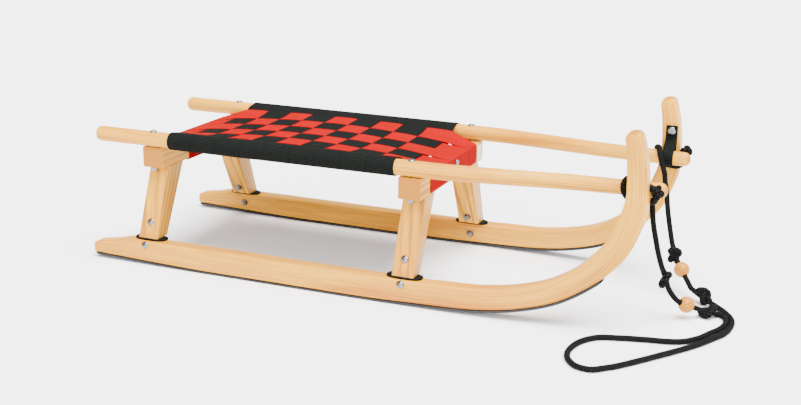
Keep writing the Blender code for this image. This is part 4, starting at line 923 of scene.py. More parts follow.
def plait_height(travel, turn):
    """Height of the braid's surface, 0 between plaits and 1 on their crowns."""
    up = PLAITS * turn + travel / PLAIT_PITCH
    down = PLAITS * turn - travel / PLAIT_PITCH
    across, lengthwise = up % 1, down % 1
    if (math.floor(up) + math.floor(down)) % 2:
        across, lengthwise = lengthwise, across
    crown = math.sqrt(max(0.0, 1 - (2 * across - 1) ** 2))
    return crown * (1 - 0.5 * abs(2 * lengthwise - 1) ** 3)


def braid(name, points, radius=ROPE_RADIUS, swell=0.0):
    """Braided rope along the points, with its plaits in the surface and melted ends."""
    points = evenly(points, ROPE_STEP)
    frames = frames_along(points)
    travel = distances(points)
    last = len(frames) - 1
    melt = 4

    def reach(i, j):
        height = plait_height(travel[j], i % ROPE_SIDES / ROPE_SIDES)
        bulge = 1 + swell * min(1.0, 2.6 * math.sin(math.pi * j / last) ** 2)
        size = radius * bulge * (1 + PLAIT_RELIEF * (height - 0.7))
        end = min(j, last - j)
        if end < melt:
            size *= math.sqrt(1 - (1 - (end + 0.4) / (melt + 0.4)) ** 2)
        return size

    def place(i, j):
        point, run, across, up = frames[j]
        angle = math.tau * (i % ROPE_SIDES) / ROPE_SIDES
        return point + (across * math.cos(angle) + up * math.sin(angle)) * reach(i, j)

    bm = lay_grid(ROPE_SIDES, last, place,
                  lambda i, j: (travel[j], math.tau * radius * i / ROPE_SIDES),
                  height=lambda i, j: plait_height(travel[j], i % ROPE_SIDES / ROPE_SIDES))
    return finish_piece(object_of(bm, name), ROPE_YARN, sharp=80)


def overhand_knot(name, centre, axis, lobe, tails=KNOT_TAILS):
    """Overhand knot drawn tight on the rope; one of its turns stands out towards the lobe."""
    run = Vector(axis).normalized()
    out = (Vector(lobe) - run * Vector(lobe).dot(run)).normalized()
    side = out.cross(run)
    end = KNOT_TURN_END
    turns = [end * k / 8 for k in range(-8, 9)]
    points = [(t ** 3 - 3 * t, t ** 4 - 4 * t * t + 2, t ** 5 / 5 - 2 * t) for t in turns]
    before, after = tails
    points = [(0, 0, -before), (-0.35, 0, -before * 0.64), *points, (0.35, 0, after * 0.64),
              (0, 0, after)]
    route = [Vector(centre) + (side * x + out * y + run * z) * KNOT_UNIT for x, y, z in points]
    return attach(braid(name, rope_through(route, 0.001), KNOT_ROPE_RADIUS, KNOT_SWELL), "frame")


def hitch_route(side_name, side):
    """From the cut end round the rail end, as place, angle and distance, and down inside it."""
    leave = HITCH_LEAVE[side_name]
    rows = list(HITCH_ENDS[side_name]) + list(HITCH_TURNS) + list(HITCH_BEHIND[side_name])
    rows += list(zip(leave, HITCH_LEAVE_ANGLES, HITCH_LEAVE_EXTRA))
    scaled = [(place, math.radians(angle) * RAIL_RADIUS, extra) for place, angle, extra in rows]
    points = []
    for place, turn, extra in smooth_rows(scaled, 0.003, measured=2):
        x = BEAM_X["front"] + place
        reach = rail_radius(x) + ROPE_LINE_RADIUS + ROPE_CLEARANCE + extra
        angle = turn / RAIL_RADIUS
        y = rail_y(x) + reach * math.cos(angle)
        points.append(Vector((x, side * y, RAIL_Z + reach * math.sin(angle))))
    end_x = BEAM_X["front"] + leave[-1] + HITCH_END_RUN
    points.append(Vector((end_x, side * (rail_y(end_x) - reach), RAIL_Z - HITCH_DROP)))
    return points


def rope_through(points, spacing=0.004):
    return [Vector(row) for row in smooth_rows([tuple(point) for point in points], spacing)]


def declare_rope(points):
    route = evenly(points, ROPE_STEP)
    distances(route)[-1]


def make_strand(side_name, side):
    """One side of the rope: hitch and upper stretch, knots, and the stretch through the bead."""
    strand = STRANDS[side_name]
    hitch = hitch_route(side_name, side)
    stopper_x = BEAM_X["front"] + HITCH_KNOT_PLACE
    stopper_place = (stopper_x, side * (rail_y(stopper_x) + HITCH_KNOT_OUT),
                     RAIL_Z + HITCH_KNOT_RISE)
    stopper = overhand_knot("knot_hitch_" + side_name, stopper_place, (0.15, 0, -1), (0.9, side, 0),
                            STOPPER_TAILS)
    knot = Vector(strand["knot"])
    low_knot = Vector(strand["low_knot"])
    lead = hitch[-1] + (hitch[-1] - hitch[-2]).normalized() * 2 * ROPE_RADIUS
    upper = hitch + rope_through([lead] + list(strand["upper"]) + [knot])
    rope = braid("rope_strand_" + side_name, upper)
    upper_knot = overhand_knot("knot_upper_" + side_name, knot, knot - upper[-3], strand["lobe"])
    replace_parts(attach(rope, "frame"), "rope_hitch_" + side_name, "rope_upper_" + side_name)
    declare_rope(upper)
    bead_start, bead_end = [Vector(point) for point in strand["bead_line"]]
    middle_route = [knot, bead_start]
    if strand["middle"]:
        middle_route = rope_through([knot, *strand["middle"], bead_start])
    middle_route += [bead_end, low_knot]
    lower = braid("rope_bead_stretch_" + side_name, middle_route)
    lower_knot = overhand_knot("knot_lower_" + side_name,
                               low_knot + Vector((0, 0, strand["low_rise"])),
                               low_knot - bead_end, strand["low_lobe"])
    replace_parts(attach(lower, "frame"), "rope_middle_" + side_name)
    bead = make_bead(side_name, (bead_end - bead_start).normalized())
    declare_rope(middle_route)


def make_bead(side_name, axis):
    """Round wooden bead with eased holes."""
    low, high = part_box("bead_" + side_name)
    radius = (high.z - low.z) / 2
    bore = 0.0052
    ease = 0.0012
    mouth = math.degrees(math.asin((bore + ease) / radius))
    ball = [(radius * sin_of(a), radius * cos_of(a))
            for a in [mouth + (180 - 2 * mouth) * i / 28 for i in range(29)]]
    rim = ball[0][1]
    lip = [(bore + ease * (1 - cos_of(a)), rim - ease * (1 - sin_of(a))) for a in (0, 25, 50, 75)]
    profile = lip + ball + [(r, -z) for r, z in reversed(lip)] + [lip[0]]
    bm = turned(profile, 48, aimed((low + high) / 2, axis))
    return finish_piece(object_of(bm, "bead_turned_" + side_name), BEECH,
                        "bead_" + side_name, ["bead_" + side_name], 60)


def make_bight():
    """The long loop that lies on the floor between the two lower knots."""
    ends = [STRANDS[side_name]["low_knot"] for side_name in ("right", "left")]
    floor_z = ROPE_RADIUS * (1 + PLAIT_RELIEF * 0.25)
    ground = [(x, y, floor_z) for x, y in BIGHT]
    route = [Vector((x, y, max(z, floor_z)))
             for x, y, z in smooth_rows([ends[0]] + ground + [ends[1]], 0.004)]
    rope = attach(braid("rope_floor_loop", route), "frame")
    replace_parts(rope, "rope_bight")
    declare_rope(route)


for side_name, side in SIDES:
    make_strand(side_name, side)
make_bight()


# Woven seat

def row_y(row):
    """Middle of a lengthwise strap; row 1 is on the left."""
    return ((STRAP_ROWS + 1) / 2 - row) * WEBBING_PITCH


def column_at(x):
    """Number of the band at a place along the seat, and the share across it from -1 to 1."""
    for column in range(1, BAND_COLUMNS + 1):
        rear, front = BAND_EDGES[column - 1], BAND_EDGES[column]
        if x <= front or column == BAND_COLUMNS:
            return column, 2 * (x - rear) / (front - rear) - 1


DIP_PLACES, DIP_DEPTHS = zip(*SEAT_DIPS)
DIP_SLOPES = slopes(DIP_PLACES, DIP_DEPTHS, False)


def sag(x, y):
    """Height of the weave's middle at a point, above its height at the rails."""
    across = min(1.0, abs(y) / (STRAP_ROWS * WEBBING_PITCH / 2))
    held = min(max(x, DIP_PLACES[0]), DIP_PLACES[-1])
    dip = along(DIP_PLACES, DIP_DEPTHS, DIP_SLOPES, held)
    return -SEAT_SAG * (1 - across ** 2) - dip * (1 - 0.7 * across ** 5)


def pillow(share):
    """1 in the middle of a woven square and 0 at its edges, from a share of -1 to 1 across it."""
    return 1 - min(1.0, abs(share)) ** 5


def weave_height(x, y, of_band):
    """Height of a band or strap above the weave's middle at a point of the seat."""
    column, share_x = column_at(x)
    if (column == 1 and share_x < 0) or (column == BAND_COLUMNS and share_x > 0):
        share_x *= 0.75
    row = min(STRAP_ROWS, max(1, round((STRAP_ROWS + 1) / 2 - y / WEBBING_PITCH)))
    share_y = 2 * (y - row_y(row)) / WEBBING_PITCH
    over = 1 if (row + column) % 2 == 1 else -1
    if of_band:
        return over * WEAVE_LIFT * pillow(share_y) * (1 - 0.25 * abs(share_x) ** 6)
    return -over * WEAVE_LIFT * pillow(share_x) * (1 - 0.25 * abs(share_y) ** 6)


def fold(x, z, start, end):
    """Webbing's middle line round an eased beam edge, between two angles in degrees."""
    return arc((x, z), BEAM_EASING + WEB_OFFSET, start, end, count=8)


def strap_line(row):
    """Middle line of a strap: x, z, share of the sag, 1 where it is woven, width."""
    low = BEAM_BOTTOM_Z + BEAM_EASING
    high = BEAM_TOP_Z - BEAM_EASING
    rear = BEAM_X["rear"] - BEAM_HALF_WIDTH + BEAM_EASING
    rear_front = BEAM_X["rear"] + BEAM_HALF_WIDTH - BEAM_EASING
    front = BEAM_X["front"] + BEAM_HALF_WIDTH - BEAM_EASING
    off = BEAM_EASING + WEB_OFFSET
    ends = []
    if row in (2, 3, 4):
        ends += [(rear_front + off, high - 0.002), (rear_front + off, low)]
        ends += fold(rear_front, low, 0, -90)[1:] + fold(rear, low, -90, -180)
    else:
        ends += [(rear - off, low + 0.002)]
    ends += fold(rear, high, 180, 112)
    weave_start = BAND_EDGES[0]
    weave_end = BAND_EDGES[-1]
    neck_width = STRAP_NECK if (row + BAND_COLUMNS) % 2 == 0 else LOW_STRAP_NECK
    line = [(x, z, 0.0, 0.0, STRAP_WIDTH) for x, z in ends]
    slope_shares = [k / 10 for k in range(1, 10)]
    for share in slope_shares:
        line.append((mixed(ends[-1][0], weave_start, share), mixed(ends[-1][1], SEAT_Z, share),
                     share, 0.0, mixed(STRAP_WIDTH, neck_width, share)))
    count = round((weave_end - weave_start) / WEBBING_STEP)
    for k in range(count + 1):
        x = weave_start + (weave_end - weave_start) * k / count
        neck = max(0.0, 1 - min(x - weave_start, weave_end - x) / NECK_RUN)
        line.append((x, SEAT_Z, 1.0, 1.0, mixed(STRAP_WOVEN_WIDTH, neck_width, neck)))
    top = fold(front, high, 68, 0)
    for share in slope_shares:
        line.append((mixed(weave_end, top[0][0], share), mixed(SEAT_Z, top[0][1], share),
                     1 - share, 0.0, mixed(neck_width, STRAP_WIDTH, share ** 2)))
    line += [(x, z, 0.0, 0.0, STRAP_WIDTH) for x, z in top + [(front + off, low + 0.002)]]
    return finer(line, 2 * WEBBING_STEP) + [line[-1]]


def cloth_edges(obj):
    """Thickness and softly rounded edges of a piece of webbing."""
    solidify = obj.modifiers.new("thickness", "SOLIDIFY")
    solidify.thickness = WEBBING_THICKNESS
    solidify.offset = 0.0
    bevel = obj.modifiers.new("edges", "BEVEL")
    bevel.width = 0.0003
    bevel.segments = 2
    bevel.limit_method = "ANGLE"
    bevel.angle_limit = math.radians(60)


def make_strap(row):
    line = strap_line(row)
    places = distances([point[:2] for point in line])
    centre = row_y(row)
    outward = {1: 1, STRAP_ROWS: -1}.get(row, 0)
    last = len(line) - 1

    def across(i, j):
        share = 2 * i / WEBBING_CELLS - 1
        width = line[j][4]
        draw = 0.0
        if outward and line[j][3] == 0.0:
            draw = OUTER_DRAW_IN * (1 - line[j][2]) * (share * outward + 1) / 2
        return centre + share * width / 2 - outward * draw

    def place(i, j):
        x, z, share, woven, width = line[j]
        y = across(i, j)
        held_x = min(max(x, BAND_EDGES[0]), BAND_EDGES[-1])
        return Vector((x, y, z + share * (sag(x, y) + weave_height(held_x, y, False))))

    bm = lay_grid(WEBBING_CELLS, last, place,
                  lambda i, j: (places[j], i / WEBBING_CELLS * STRAP_WIDTH), closed=False)
    strap = finish_piece(object_of(bm, "strap_%d" % row), RED_WEBBING, "frame",
                         ["seat_strap_%d" % row])
    cloth_edges(strap)


def circle_tangent(point, centre, radius, turn):
    """Angle in degrees of the tangent point seen from the centre; turn picks the side."""
    away = Vector(point) - Vector(centre)
    spread = math.degrees(math.acos(radius / away.length))
    return math.degrees(math.atan2(away.y, away.x)) + turn * spread


def band_loop(column):
    """Closed line of a band in Y and Z: over the seat, round both rails and back below."""
    x = (BAND_EDGES[column - 1] + BAND_EDGES[column]) / 2
    edge = STRAP_ROWS * WEBBING_PITCH / 2
    count = round(2 * edge / WEBBING_STEP)
    over = [(edge - 2 * edge * k / count, SEAT_Z) for k in range(count + 1)]
    radius = RAIL_RADIUS + WEB_OFFSET
    rail = rail_y(x)
    right_start = circle_tangent(over[-1], (-rail, RAIL_Z), radius, 1)
    left_end = circle_tangent(over[0], (rail, RAIL_Z), radius, -1)
    if right_start > 270:
        right_start -= 360
    loop = over + arc((-rail, RAIL_Z), radius, right_start, 270)
    loop += arc((rail, RAIL_Z), radius, -90, left_end)
    return finer(loop + loop[:1], 4 * WEBBING_STEP)


def make_band(column):
    loop = band_loop(column)
    rows = len(loop)
    places = distances(loop + loop[:1])

    def place(i, j):
        y, z = loop[j % rows]
        x = mixed(*BAND_EDGES[column - 1:column + 1],
                  BAND_GAP_SHARE + (1 - 2 * BAND_GAP_SHARE) * i / BAND_CELLS)
        if abs(y) <= STRAP_ROWS * WEBBING_PITCH / 2 and z > RAIL_Z:
            z += sag(x, y) + weave_height(x, y, True)
        return Vector((x, y, z))

    bm = lay_grid(BAND_CELLS, rows, place,
                  lambda i, j: (places[j], i / BAND_CELLS * BAND_FLAT_WIDTH), closed=False)
    bmesh.ops.remove_doubles(bm, verts=bm.verts, dist=0.000001)
    band = finish_piece(object_of(bm, "band_%d" % column), BLACK_WEBBING, "frame",
                        ["seat_band_%d" % column])
    cloth_edges(band)


for row in range(1, STRAP_ROWS + 1):
    make_strap(row)
for column in range(1, BAND_COLUMNS + 1):
    make_band(column)


# Rails

def rail_stations():
    """Places along X with the radius there, rounded at both ends."""
    def rounded_end(x, length, radius):
        return [(x + length * (1 - cos_of(a)), radius * sin_of(a)) for a in range(6, 91, 12)]

    rear = rounded_end(rail_low.x, RAIL_END_LENGTH, RAIL_RADIUS)
    front = rounded_end(rail_high.x, -RAIL_END_LENGTH, rail_radius(rail_high.x))[::-1]
    start, end = rear[-1][0], front[0][0]
    count = round((end - start) / RAIL_STEP)
    body = [start + (end - start) * k / count for k in range(1, count)]
    return rear + [(x, rail_radius(x)) for x in body] + front


def make_rail(side_name, side):
    stations = rail_stations()
    middles = [Vector((x, side * rail_y(x), RAIL_Z)) for x, radius in stations]
    runs = [run_at(middles, k) for k in range(len(middles))]
    up = Vector((0, 0, 1))
    rings = []
    for (x, radius), point, run in zip(stations, middles, runs):
        across = up.cross(run)
        rings.append([point + (across * math.cos(math.tau * k / RAIL_SIDES)
                               + up * math.sin(math.tau * k / RAIL_SIDES)) * radius
                      for k in range(RAIL_SIDES)])
    rail = object_of(skin(rings), "rail_round_" + side_name)
    for place in PLACES:
        carve(rail, bolt_hole(*rail_bolt(place, side)))
    mark_timber(rail, [(point, run, up) for point, run in zip(middles, runs)], 0.37 * side)
    finish_piece(rail, ASH, "frame", ["rail_" + side_name])


# Runners

def runner_stations():
    """Sections along the runner: underside point, directions along and up through it, depth, y."""
    rows = [(BEAM_X["rear"] + run, UNDERSIDE_Z + rise, RUNNER_DEPTH - slim, RUNNER_Y - shift)
            for run, rise, slim, shift in RUNNER_TAIL]
    rows += [(BEAM_X["front"] + run, UNDERSIDE_Z + rise, RUNNER_DEPTH - slim, RUNNER_Y - shift)
             for run, rise, slim, shift in RUNNER_FRONT + HORN_PROFILE]
    rows = smooth_rows(rows, 0.007, measured=2, keep_level=True)
    level_top = UNDERSIDE_Z + RUNNER_DEPTH
    stations = []
    for i, (x, z, depth, y) in enumerate(rows):
        if BEAM_X["rear"] - RUNNER_LEVEL <= x <= BEAM_X["front"] + RUNNER_LEVEL:
            depth = level_top - z
        before = rows[max(i - 1, 0)]
        after = rows[min(i + 1, len(rows) - 1)]
        run = Vector((after[0] - before[0], 0, after[1] - before[1])).normalized()
        stations.append((Vector((x, 0, z)), run, Vector((-run.z, 0, run.x)), depth, y))
    return stations


STATIONS = runner_stations()


def station_pair(x):
    """The neighbouring stations about a place along the runner, and the share between them."""
    a, b = next((a, b) for a, b in zip(STATIONS, STATIONS[1:]) if a[0].x <= x <= b[0].x)
    return a, b, (x - a[0].x) / (b[0].x - a[0].x)


def section_ring(station, side, width_share=1.0, depth_share=1.0, advance=0.0):
    """Rounded rectangle across the runner at a station, scaled about its middle."""
    point, run, up, depth, y = station
    centre = point + up * depth / 2 + run * advance
    half_width = RUNNER_WIDTH / 2 * width_share
    half_depth = depth / 2 * depth_share
    corner = min(RUNNER_ROUNDING, half_width * 0.8, half_depth * 0.8)
    return [centre + up * rise + Vector((0, side * (y + across), 0))
            for across, rise in rounded_section(half_width, half_depth, corner, range(0, 91, 18))]


def bearing_frame(place, side):
    """Bearing's middle, direction up the tongue, direction out along the bolts."""
    centre = Vector((BEAM_X[place], side * BEARING_Y, BEARING_Z))
    up = Vector((0, -side * math.sin(LEG_TILT), math.cos(LEG_TILT)))
    out = Vector((0, side * math.cos(LEG_TILT), math.sin(LEG_TILT)))
    return centre, up, out


def make_runner(side_name, side):
    tail = STATIONS[0]
    rings = [section_ring(tail, side, *TAIL_END_SHARES),
             section_ring(tail, side, 0.95, 0.93, TAIL_EASING * 0.35),
             section_ring(tail, side, advance=TAIL_EASING)]
    rings += [section_ring(station, side) for station in STATIONS[1:]]
    for angle in HORN_DOME_ANGLES:
        share = cos_of(angle)
        rings.append(section_ring(STATIONS[-1], side, share, share, HORN_ROUNDING * sin_of(angle)))
    runner = object_of(skin(rings), "runner_bent_" + side_name)
    for place in PLACES:
        carve(runner, tongue(place, side, GAP))
        carve(runner, bolt_hole(*runner_bolt(place, side)))
    line = [(point + up * depth / 2 + Vector((0, side * y, 0)), run, up)
            for point, run, up, depth, y in STATIONS]
    mark_timber(runner, line, 0.61 * side)
    finish_piece(runner, ASH, "runner_" + side_name, ["runner_" + side_name], 38)


# Fasteners

def head_profile(radius, height):
    """Round head on a seat at z = 0, from its crown down to a small rim."""
    rim = 0.0004
    dome = [(radius * sin_of(a), rim + (height - rim) * cos_of(a)) for a in range(0, 91, 9)]
    return dome + [(radius, rim * 0.5), (radius - rim * 0.5, 0.0)]


def make_nut(top):
    """Hexagonal nut below a height, its corners cut by a cone at both ends."""
    flat = NUT_RADIUS * math.cos(math.pi / 6)
    columns = 48
    drops = (0.0, 0.00015, 0.0004, 0.0008, 0.0013)
    levels = list(drops) + [NUT_HEIGHT - drop for drop in reversed(drops)]

    def place(i, j):
        angle = math.tau * (i % columns) / columns
        corner = (angle + math.pi / 6) % (math.pi / 3) - math.pi / 6
        cone = flat * 0.97 + min(levels[j], NUT_HEIGHT - levels[j]) * 1.4
        reach = min(flat / math.cos(corner), cone)
        return Vector((reach * math.cos(angle), reach * math.sin(angle), top - levels[j]))

    return lay_grid(columns, len(levels) - 1, place, lambda i, j: (i / columns, levels[j]))


def make_bolt(name, head, nut, out, body):
    """Carriage bolt with its washer, nut and bare thread."""
    grip = (head - nut).length
    washer_top = -grip - GAP
    washer_bottom = washer_top - WASHER_THICKNESS
    end = washer_bottom - NUT_HEIGHT - BOLT_TAIL
    ease = 0.0002
    profile = [(r, z + GAP) for r, z in head_profile(BOLT_HEAD_RADIUS, BOLT_HEAD_HEIGHT)]
    profile += [(BOLT_RADIUS, GAP), (BOLT_RADIUS, washer_top), (WASHER_RADIUS - ease, washer_top),
                (WASHER_RADIUS, washer_top - ease), (WASHER_RADIUS, washer_bottom + ease),
                (WASHER_RADIUS - ease, washer_bottom), (BOLT_RADIUS, washer_bottom)]
    crest = washer_bottom - NUT_HEIGHT + 0.0002
    while crest - THREAD_PITCH > end:
        profile += [(BOLT_RADIUS, crest), (BOLT_RADIUS - 0.00035, crest - THREAD_PITCH / 2)]
        crest -= THREAD_PITCH
    profile += [(BOLT_RADIUS, crest), (BOLT_RADIUS - 0.0004, end), (0.0, end)]
    bm = turned(profile)
    add_to(bm, make_nut(washer_bottom))
    bmesh.ops.transform(bm, matrix=aimed(head, out), verts=bm.verts)
    return finish_piece(object_of(bm, name + "_turned"), ZINC, body, [name], 32)


def make_screw(name, head_radius, head_height, radius, length, matrix, body):
    """Round-head screw with a cross recess."""
    profile = [(r, z + GAP) for r, z in head_profile(head_radius, head_height)]
    profile += [(radius, GAP), (radius, -length + 3 * radius), (0.0, -length)]
    screw = object_of(turned(profile), name + "_turned")
    for quarter in (0, 1):
        recess = block((head_radius * 1.1, head_radius * 0.26, 0.0044),
                       Matrix.Rotation(math.radians(25 + 90 * quarter), 4, "Z"))
        for vert in recess.verts:
            if vert.co.z < 0:
                vert.co *= 0.5
            vert.co.z += head_height + GAP
        carve(screw, recess)
    screw.data.transform(matrix)
    return finish_piece(screw, ZINC, body, [name], 32)


def seats(point, out, outer, inner, sink):
    """Seats of head and nut, sunk below two planes given as (point, normal), and direction."""
    head, nut = [point + out * ((plane - point).dot(normal) / out.dot(normal))
                 for plane, normal in (outer, inner)]
    return head - out * sink, nut + out * sink, out


def leg_bolt(place, side):
    """Head's seat, nut's seat and outward direction of a leg's bolt."""
    centre, up, out = bearing_frame(place, side)
    point = centre + up * LEG_BOLT_OFFSET
    foot_outer = Vector((centre.x, side * (LEG_FOOT_Y + LEG_FOOT_WIDTH / 2), FOOT_Z))
    foot_inner = Vector((centre.x, side * (LEG_FOOT_Y - LEG_FOOT_WIDTH / 2), FOOT_Z))
    top_inner = Vector((centre.x, side * (LEG_TOP_Y - LEG_TOP_WIDTH / 2), FOOT_Z + LEG_LENGTH))
    inner_run = top_inner - foot_inner
    inner_normal = Vector((0, inner_run.z, -inner_run.y))
    return seats(point, out, (foot_outer, out), (foot_inner, inner_normal), SPOT_FACE_DEPTH)


def runner_line_y(x):
    """Distance of the runner's middle line from the centre plane."""
    a, b, share = station_pair(x)
    return mixed(a[4], b[4], share)


def runner_bolt(place, side):
    """Head's seat, nut's seat and outward direction of a bolt through the runner."""
    centre, up, out = bearing_frame(place, side)
    point = centre - up * RUNNER_BOLT_OFFSET
    line_y = runner_line_y(centre.x)
    across = Vector((0, 1, 0))
    outer = Vector((centre.x, side * (line_y + RUNNER_WIDTH / 2), 0))
    inner = Vector((centre.x, side * (line_y - RUNNER_WIDTH / 2), 0))
    return seats(point, out, (outer, across), (inner, across), RUNNER_SPOT_FACE_DEPTH)


def rail_bolt(place, side):
    """Head's seat, nut's seat and upward direction of a bolt through rail and beam."""
    x = BEAM_X[place]
    y = side * rail_y(x)
    return Vector((x, y, RAIL_Z + RAIL_RADIUS - SPOT_FACE_DEPTH)), Vector((x, y, BEAM_BOTTOM_Z)), \
        Vector((0, 0, 1))


def bolt_hole(head, nut, out, room=0.02):
    """Cutter with the bolt's bore and a spot face under its head and its nut."""
    bore = BOLT_RADIUS + GAP
    grip = (head - nut).length
    return turned([(0.0, room), (SPOT_FACE_RADIUS, room), (SPOT_FACE_RADIUS, 0.0), (bore, 0.0),
                   (bore, -grip), (SPOT_FACE_RADIUS, -grip), (SPOT_FACE_RADIUS, -grip - room),
                   (0.0, -grip - room)], matrix=aimed(head, out))


def make_bolts():
    for place in PLACES:
        for side_name, side in SIDES:
            tail = "%s_%s" % (place, side_name)
            make_bolt("rail_bolt_" + tail, *rail_bolt(place, side), "frame")
            make_bolt("leg_bolt_" + tail, *leg_bolt(place, side), "frame")
            make_bolt("runner_bolt_" + tail, *runner_bolt(place, side), "runner_" + side_name)


# Legs and crossbeams

def tongue(place, side, clearance):
    """The bearing's tongue, or with a clearance the pocket that it fits."""
    centre, up, out = bearing_frame(place, side)
    size = (TONGUE_BREADTH + 2 * clearance, TONGUE_THICKNESS + 2 * clearance,
            TONGUE_UP + TONGUE_DOWN + 2 * clearance)
    turn = Matrix.Translation(centre + up * (TONGUE_UP - TONGUE_DOWN) / 2) \
        @ Matrix.Rotation(side * LEG_TILT, 4, "X")
    return block(size, turn)


def tenon(place, side, clearance):
    """The leg's tenon, or with a clearance its mortise, reaching as far down as up."""
    size = (LEG_BREADTH - 2 * TENON_SHOULDER + 2 * clearance,
            LEG_TOP_WIDTH - 2 * TENON_SHOULDER + 2 * clearance, 2 * (TENON_LENGTH + clearance))
    return block(size, Matrix.Translation((BEAM_X[place], side * LEG_TOP_Y, FOOT_Z + LEG_LENGTH)))


def make_leg(place, side_name, side):
    """Splayed leg, wider at the top, with eased edges."""
    x = BEAM_X[place]
    bm = block((1, 1, 1), Matrix())
    foot, top = (LEG_FOOT_Y, LEG_FOOT_WIDTH, 0), (LEG_TOP_Y, LEG_TOP_WIDTH, LEG_LENGTH)
    for vert in bm.verts:
        middle_y, width, rise = top if vert.co.z > 0 else foot
        vert.co = (x + math.copysign(LEG_BREADTH / 2, vert.co.x),
                   side * middle_y + math.copysign(width / 2, vert.co.y), FOOT_Z + rise)
    upright = [edge for edge in bm.edges
               if abs(edge.verts[0].co.z - edge.verts[1].co.z) > LEG_LENGTH / 2]
    ease_edges(bm, upright, LEG_EASING)
    leg = object_of(bm, "leg_sawn_%s_%s" % (place, side_name))
    carve(leg, tenon(place, side, 0.0), "UNION")
    carve(leg, tongue(place, side, GAP))
    carve(leg, bolt_hole(*leg_bolt(place, side)))
    centre, up, out = bearing_frame(place, side)
    foot = Vector((x, side * LEG_FOOT_Y, FOOT_Z))
    line = [(foot + up * (LEG_LENGTH * share), up, Vector((1, 0, 0))) for share in (0, 0.5, 1)]
    mark_timber(leg, line, 0.23 * side + 1.7 * x)
    finish_piece(leg, SAWN_ASH, "frame", ["leg_%s_%s" % (place, side_name)], 30)


def make_beam(place):
    x = BEAM_X[place]
    centre = Vector((x, 0, (BEAM_BOTTOM_Z + BEAM_TOP_Z) / 2))
    bm = block(beam_high - beam_low, Matrix.Translation(centre))
    ease_edges(bm, bm.edges[:], BEAM_EASING)
    beam = object_of(bm, "crossbeam_sawn_" + place)
    for side_name, side in SIDES:
        carve(beam, tenon(place, side, GAP))
        carve(beam, rod(BOLT_RADIUS + GAP, 0.06,
                        Matrix.Translation((x, side * rail_y(x), centre.z))))
    line = [(centre + Vector((0, y, 0)), Vector((0, 1, 0)), Vector((0, 0, 1)))
            for y in (-0.1, 0, 0.1)]
    mark_timber(beam, line, 1.3 * x)
    finish_piece(beam, SAWN_ASH, "frame", ["crossbeam_" + place], 30)


# Rubber bearings

def make_bearing(place, side_name, side):
    """Moulded pad with a rolled rim, and its tongue up into the leg and down into the runner."""
    centre, up, out = bearing_frame(place, side)
    half = PAD_THICKNESS / 2
    rim = [(1.0 - PAD_ROLL / PAD_LENGTH * 2, -half)]
    rim += [(1.0 - PAD_ROLL * (1 - cos_of(a)) * 2 / PAD_LENGTH, half * sin_of(a))
            for a in (-60, -30, 0, 30, 60)]
    rim += [(rim[0][0], half)]
    levels = [(0.5, -half)] + rim + [(0.5, half)]

    def place_of(i, j):
        angle = math.tau * (i % PAD_COLUMNS) / PAD_COLUMNS
        share, rise = levels[j]
        x, y = [math.copysign(abs(c) ** PAD_SQUARENESS, c) * size / 2 * share
                for c, size in ((math.cos(angle), PAD_LENGTH), (math.sin(angle), PAD_WIDTH))]
        return centre + Vector((x, y, rise))

    bm = lay_grid(PAD_COLUMNS, len(levels) - 1, place_of, lambda i, j: (i / PAD_COLUMNS, j))
    bearing = object_of(bm, "bearing_moulded_%s_%s" % (place, side_name))
    carve(bearing, tongue(place, side, 0.0), "UNION")
    for offset in (LEG_BOLT_OFFSET, -RUNNER_BOLT_OFFSET):
        carve(bearing, rod(BOLT_RADIUS + GAP, 0.01, aimed(centre + up * offset, out)))
    finish_piece(bearing, RUBBER, None, ["bearing_%s_%s" % (place, side_name)], 45)
    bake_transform(bearing)


# Steel strips

def steel_line():
    """Underside stations that the strip covers."""
    top = UNDERSIDE_Z + STEEL_END_RISE
    front = BEAM_X["front"] + KEEPER_X
    return [station for station in STATIONS if station[0].z <= top and station[0].x < front]


def steel_screw_places(side):
    """Matrices with the origin on the strip's lower face and Z pointing out of it."""
    places = []
    for x in STEEL_SCREW_X:
        a, b, share = station_pair(x)
        run = (b[0] - a[0]).normalized()
        up = Vector((-run.z, 0, run.x))
        point = a[0].lerp(b[0], share) + Vector((0, side * runner_line_y(x), 0))
        places.append(aimed(point - up * (GAP + STEEL_THICKNESS), -up))
    return places


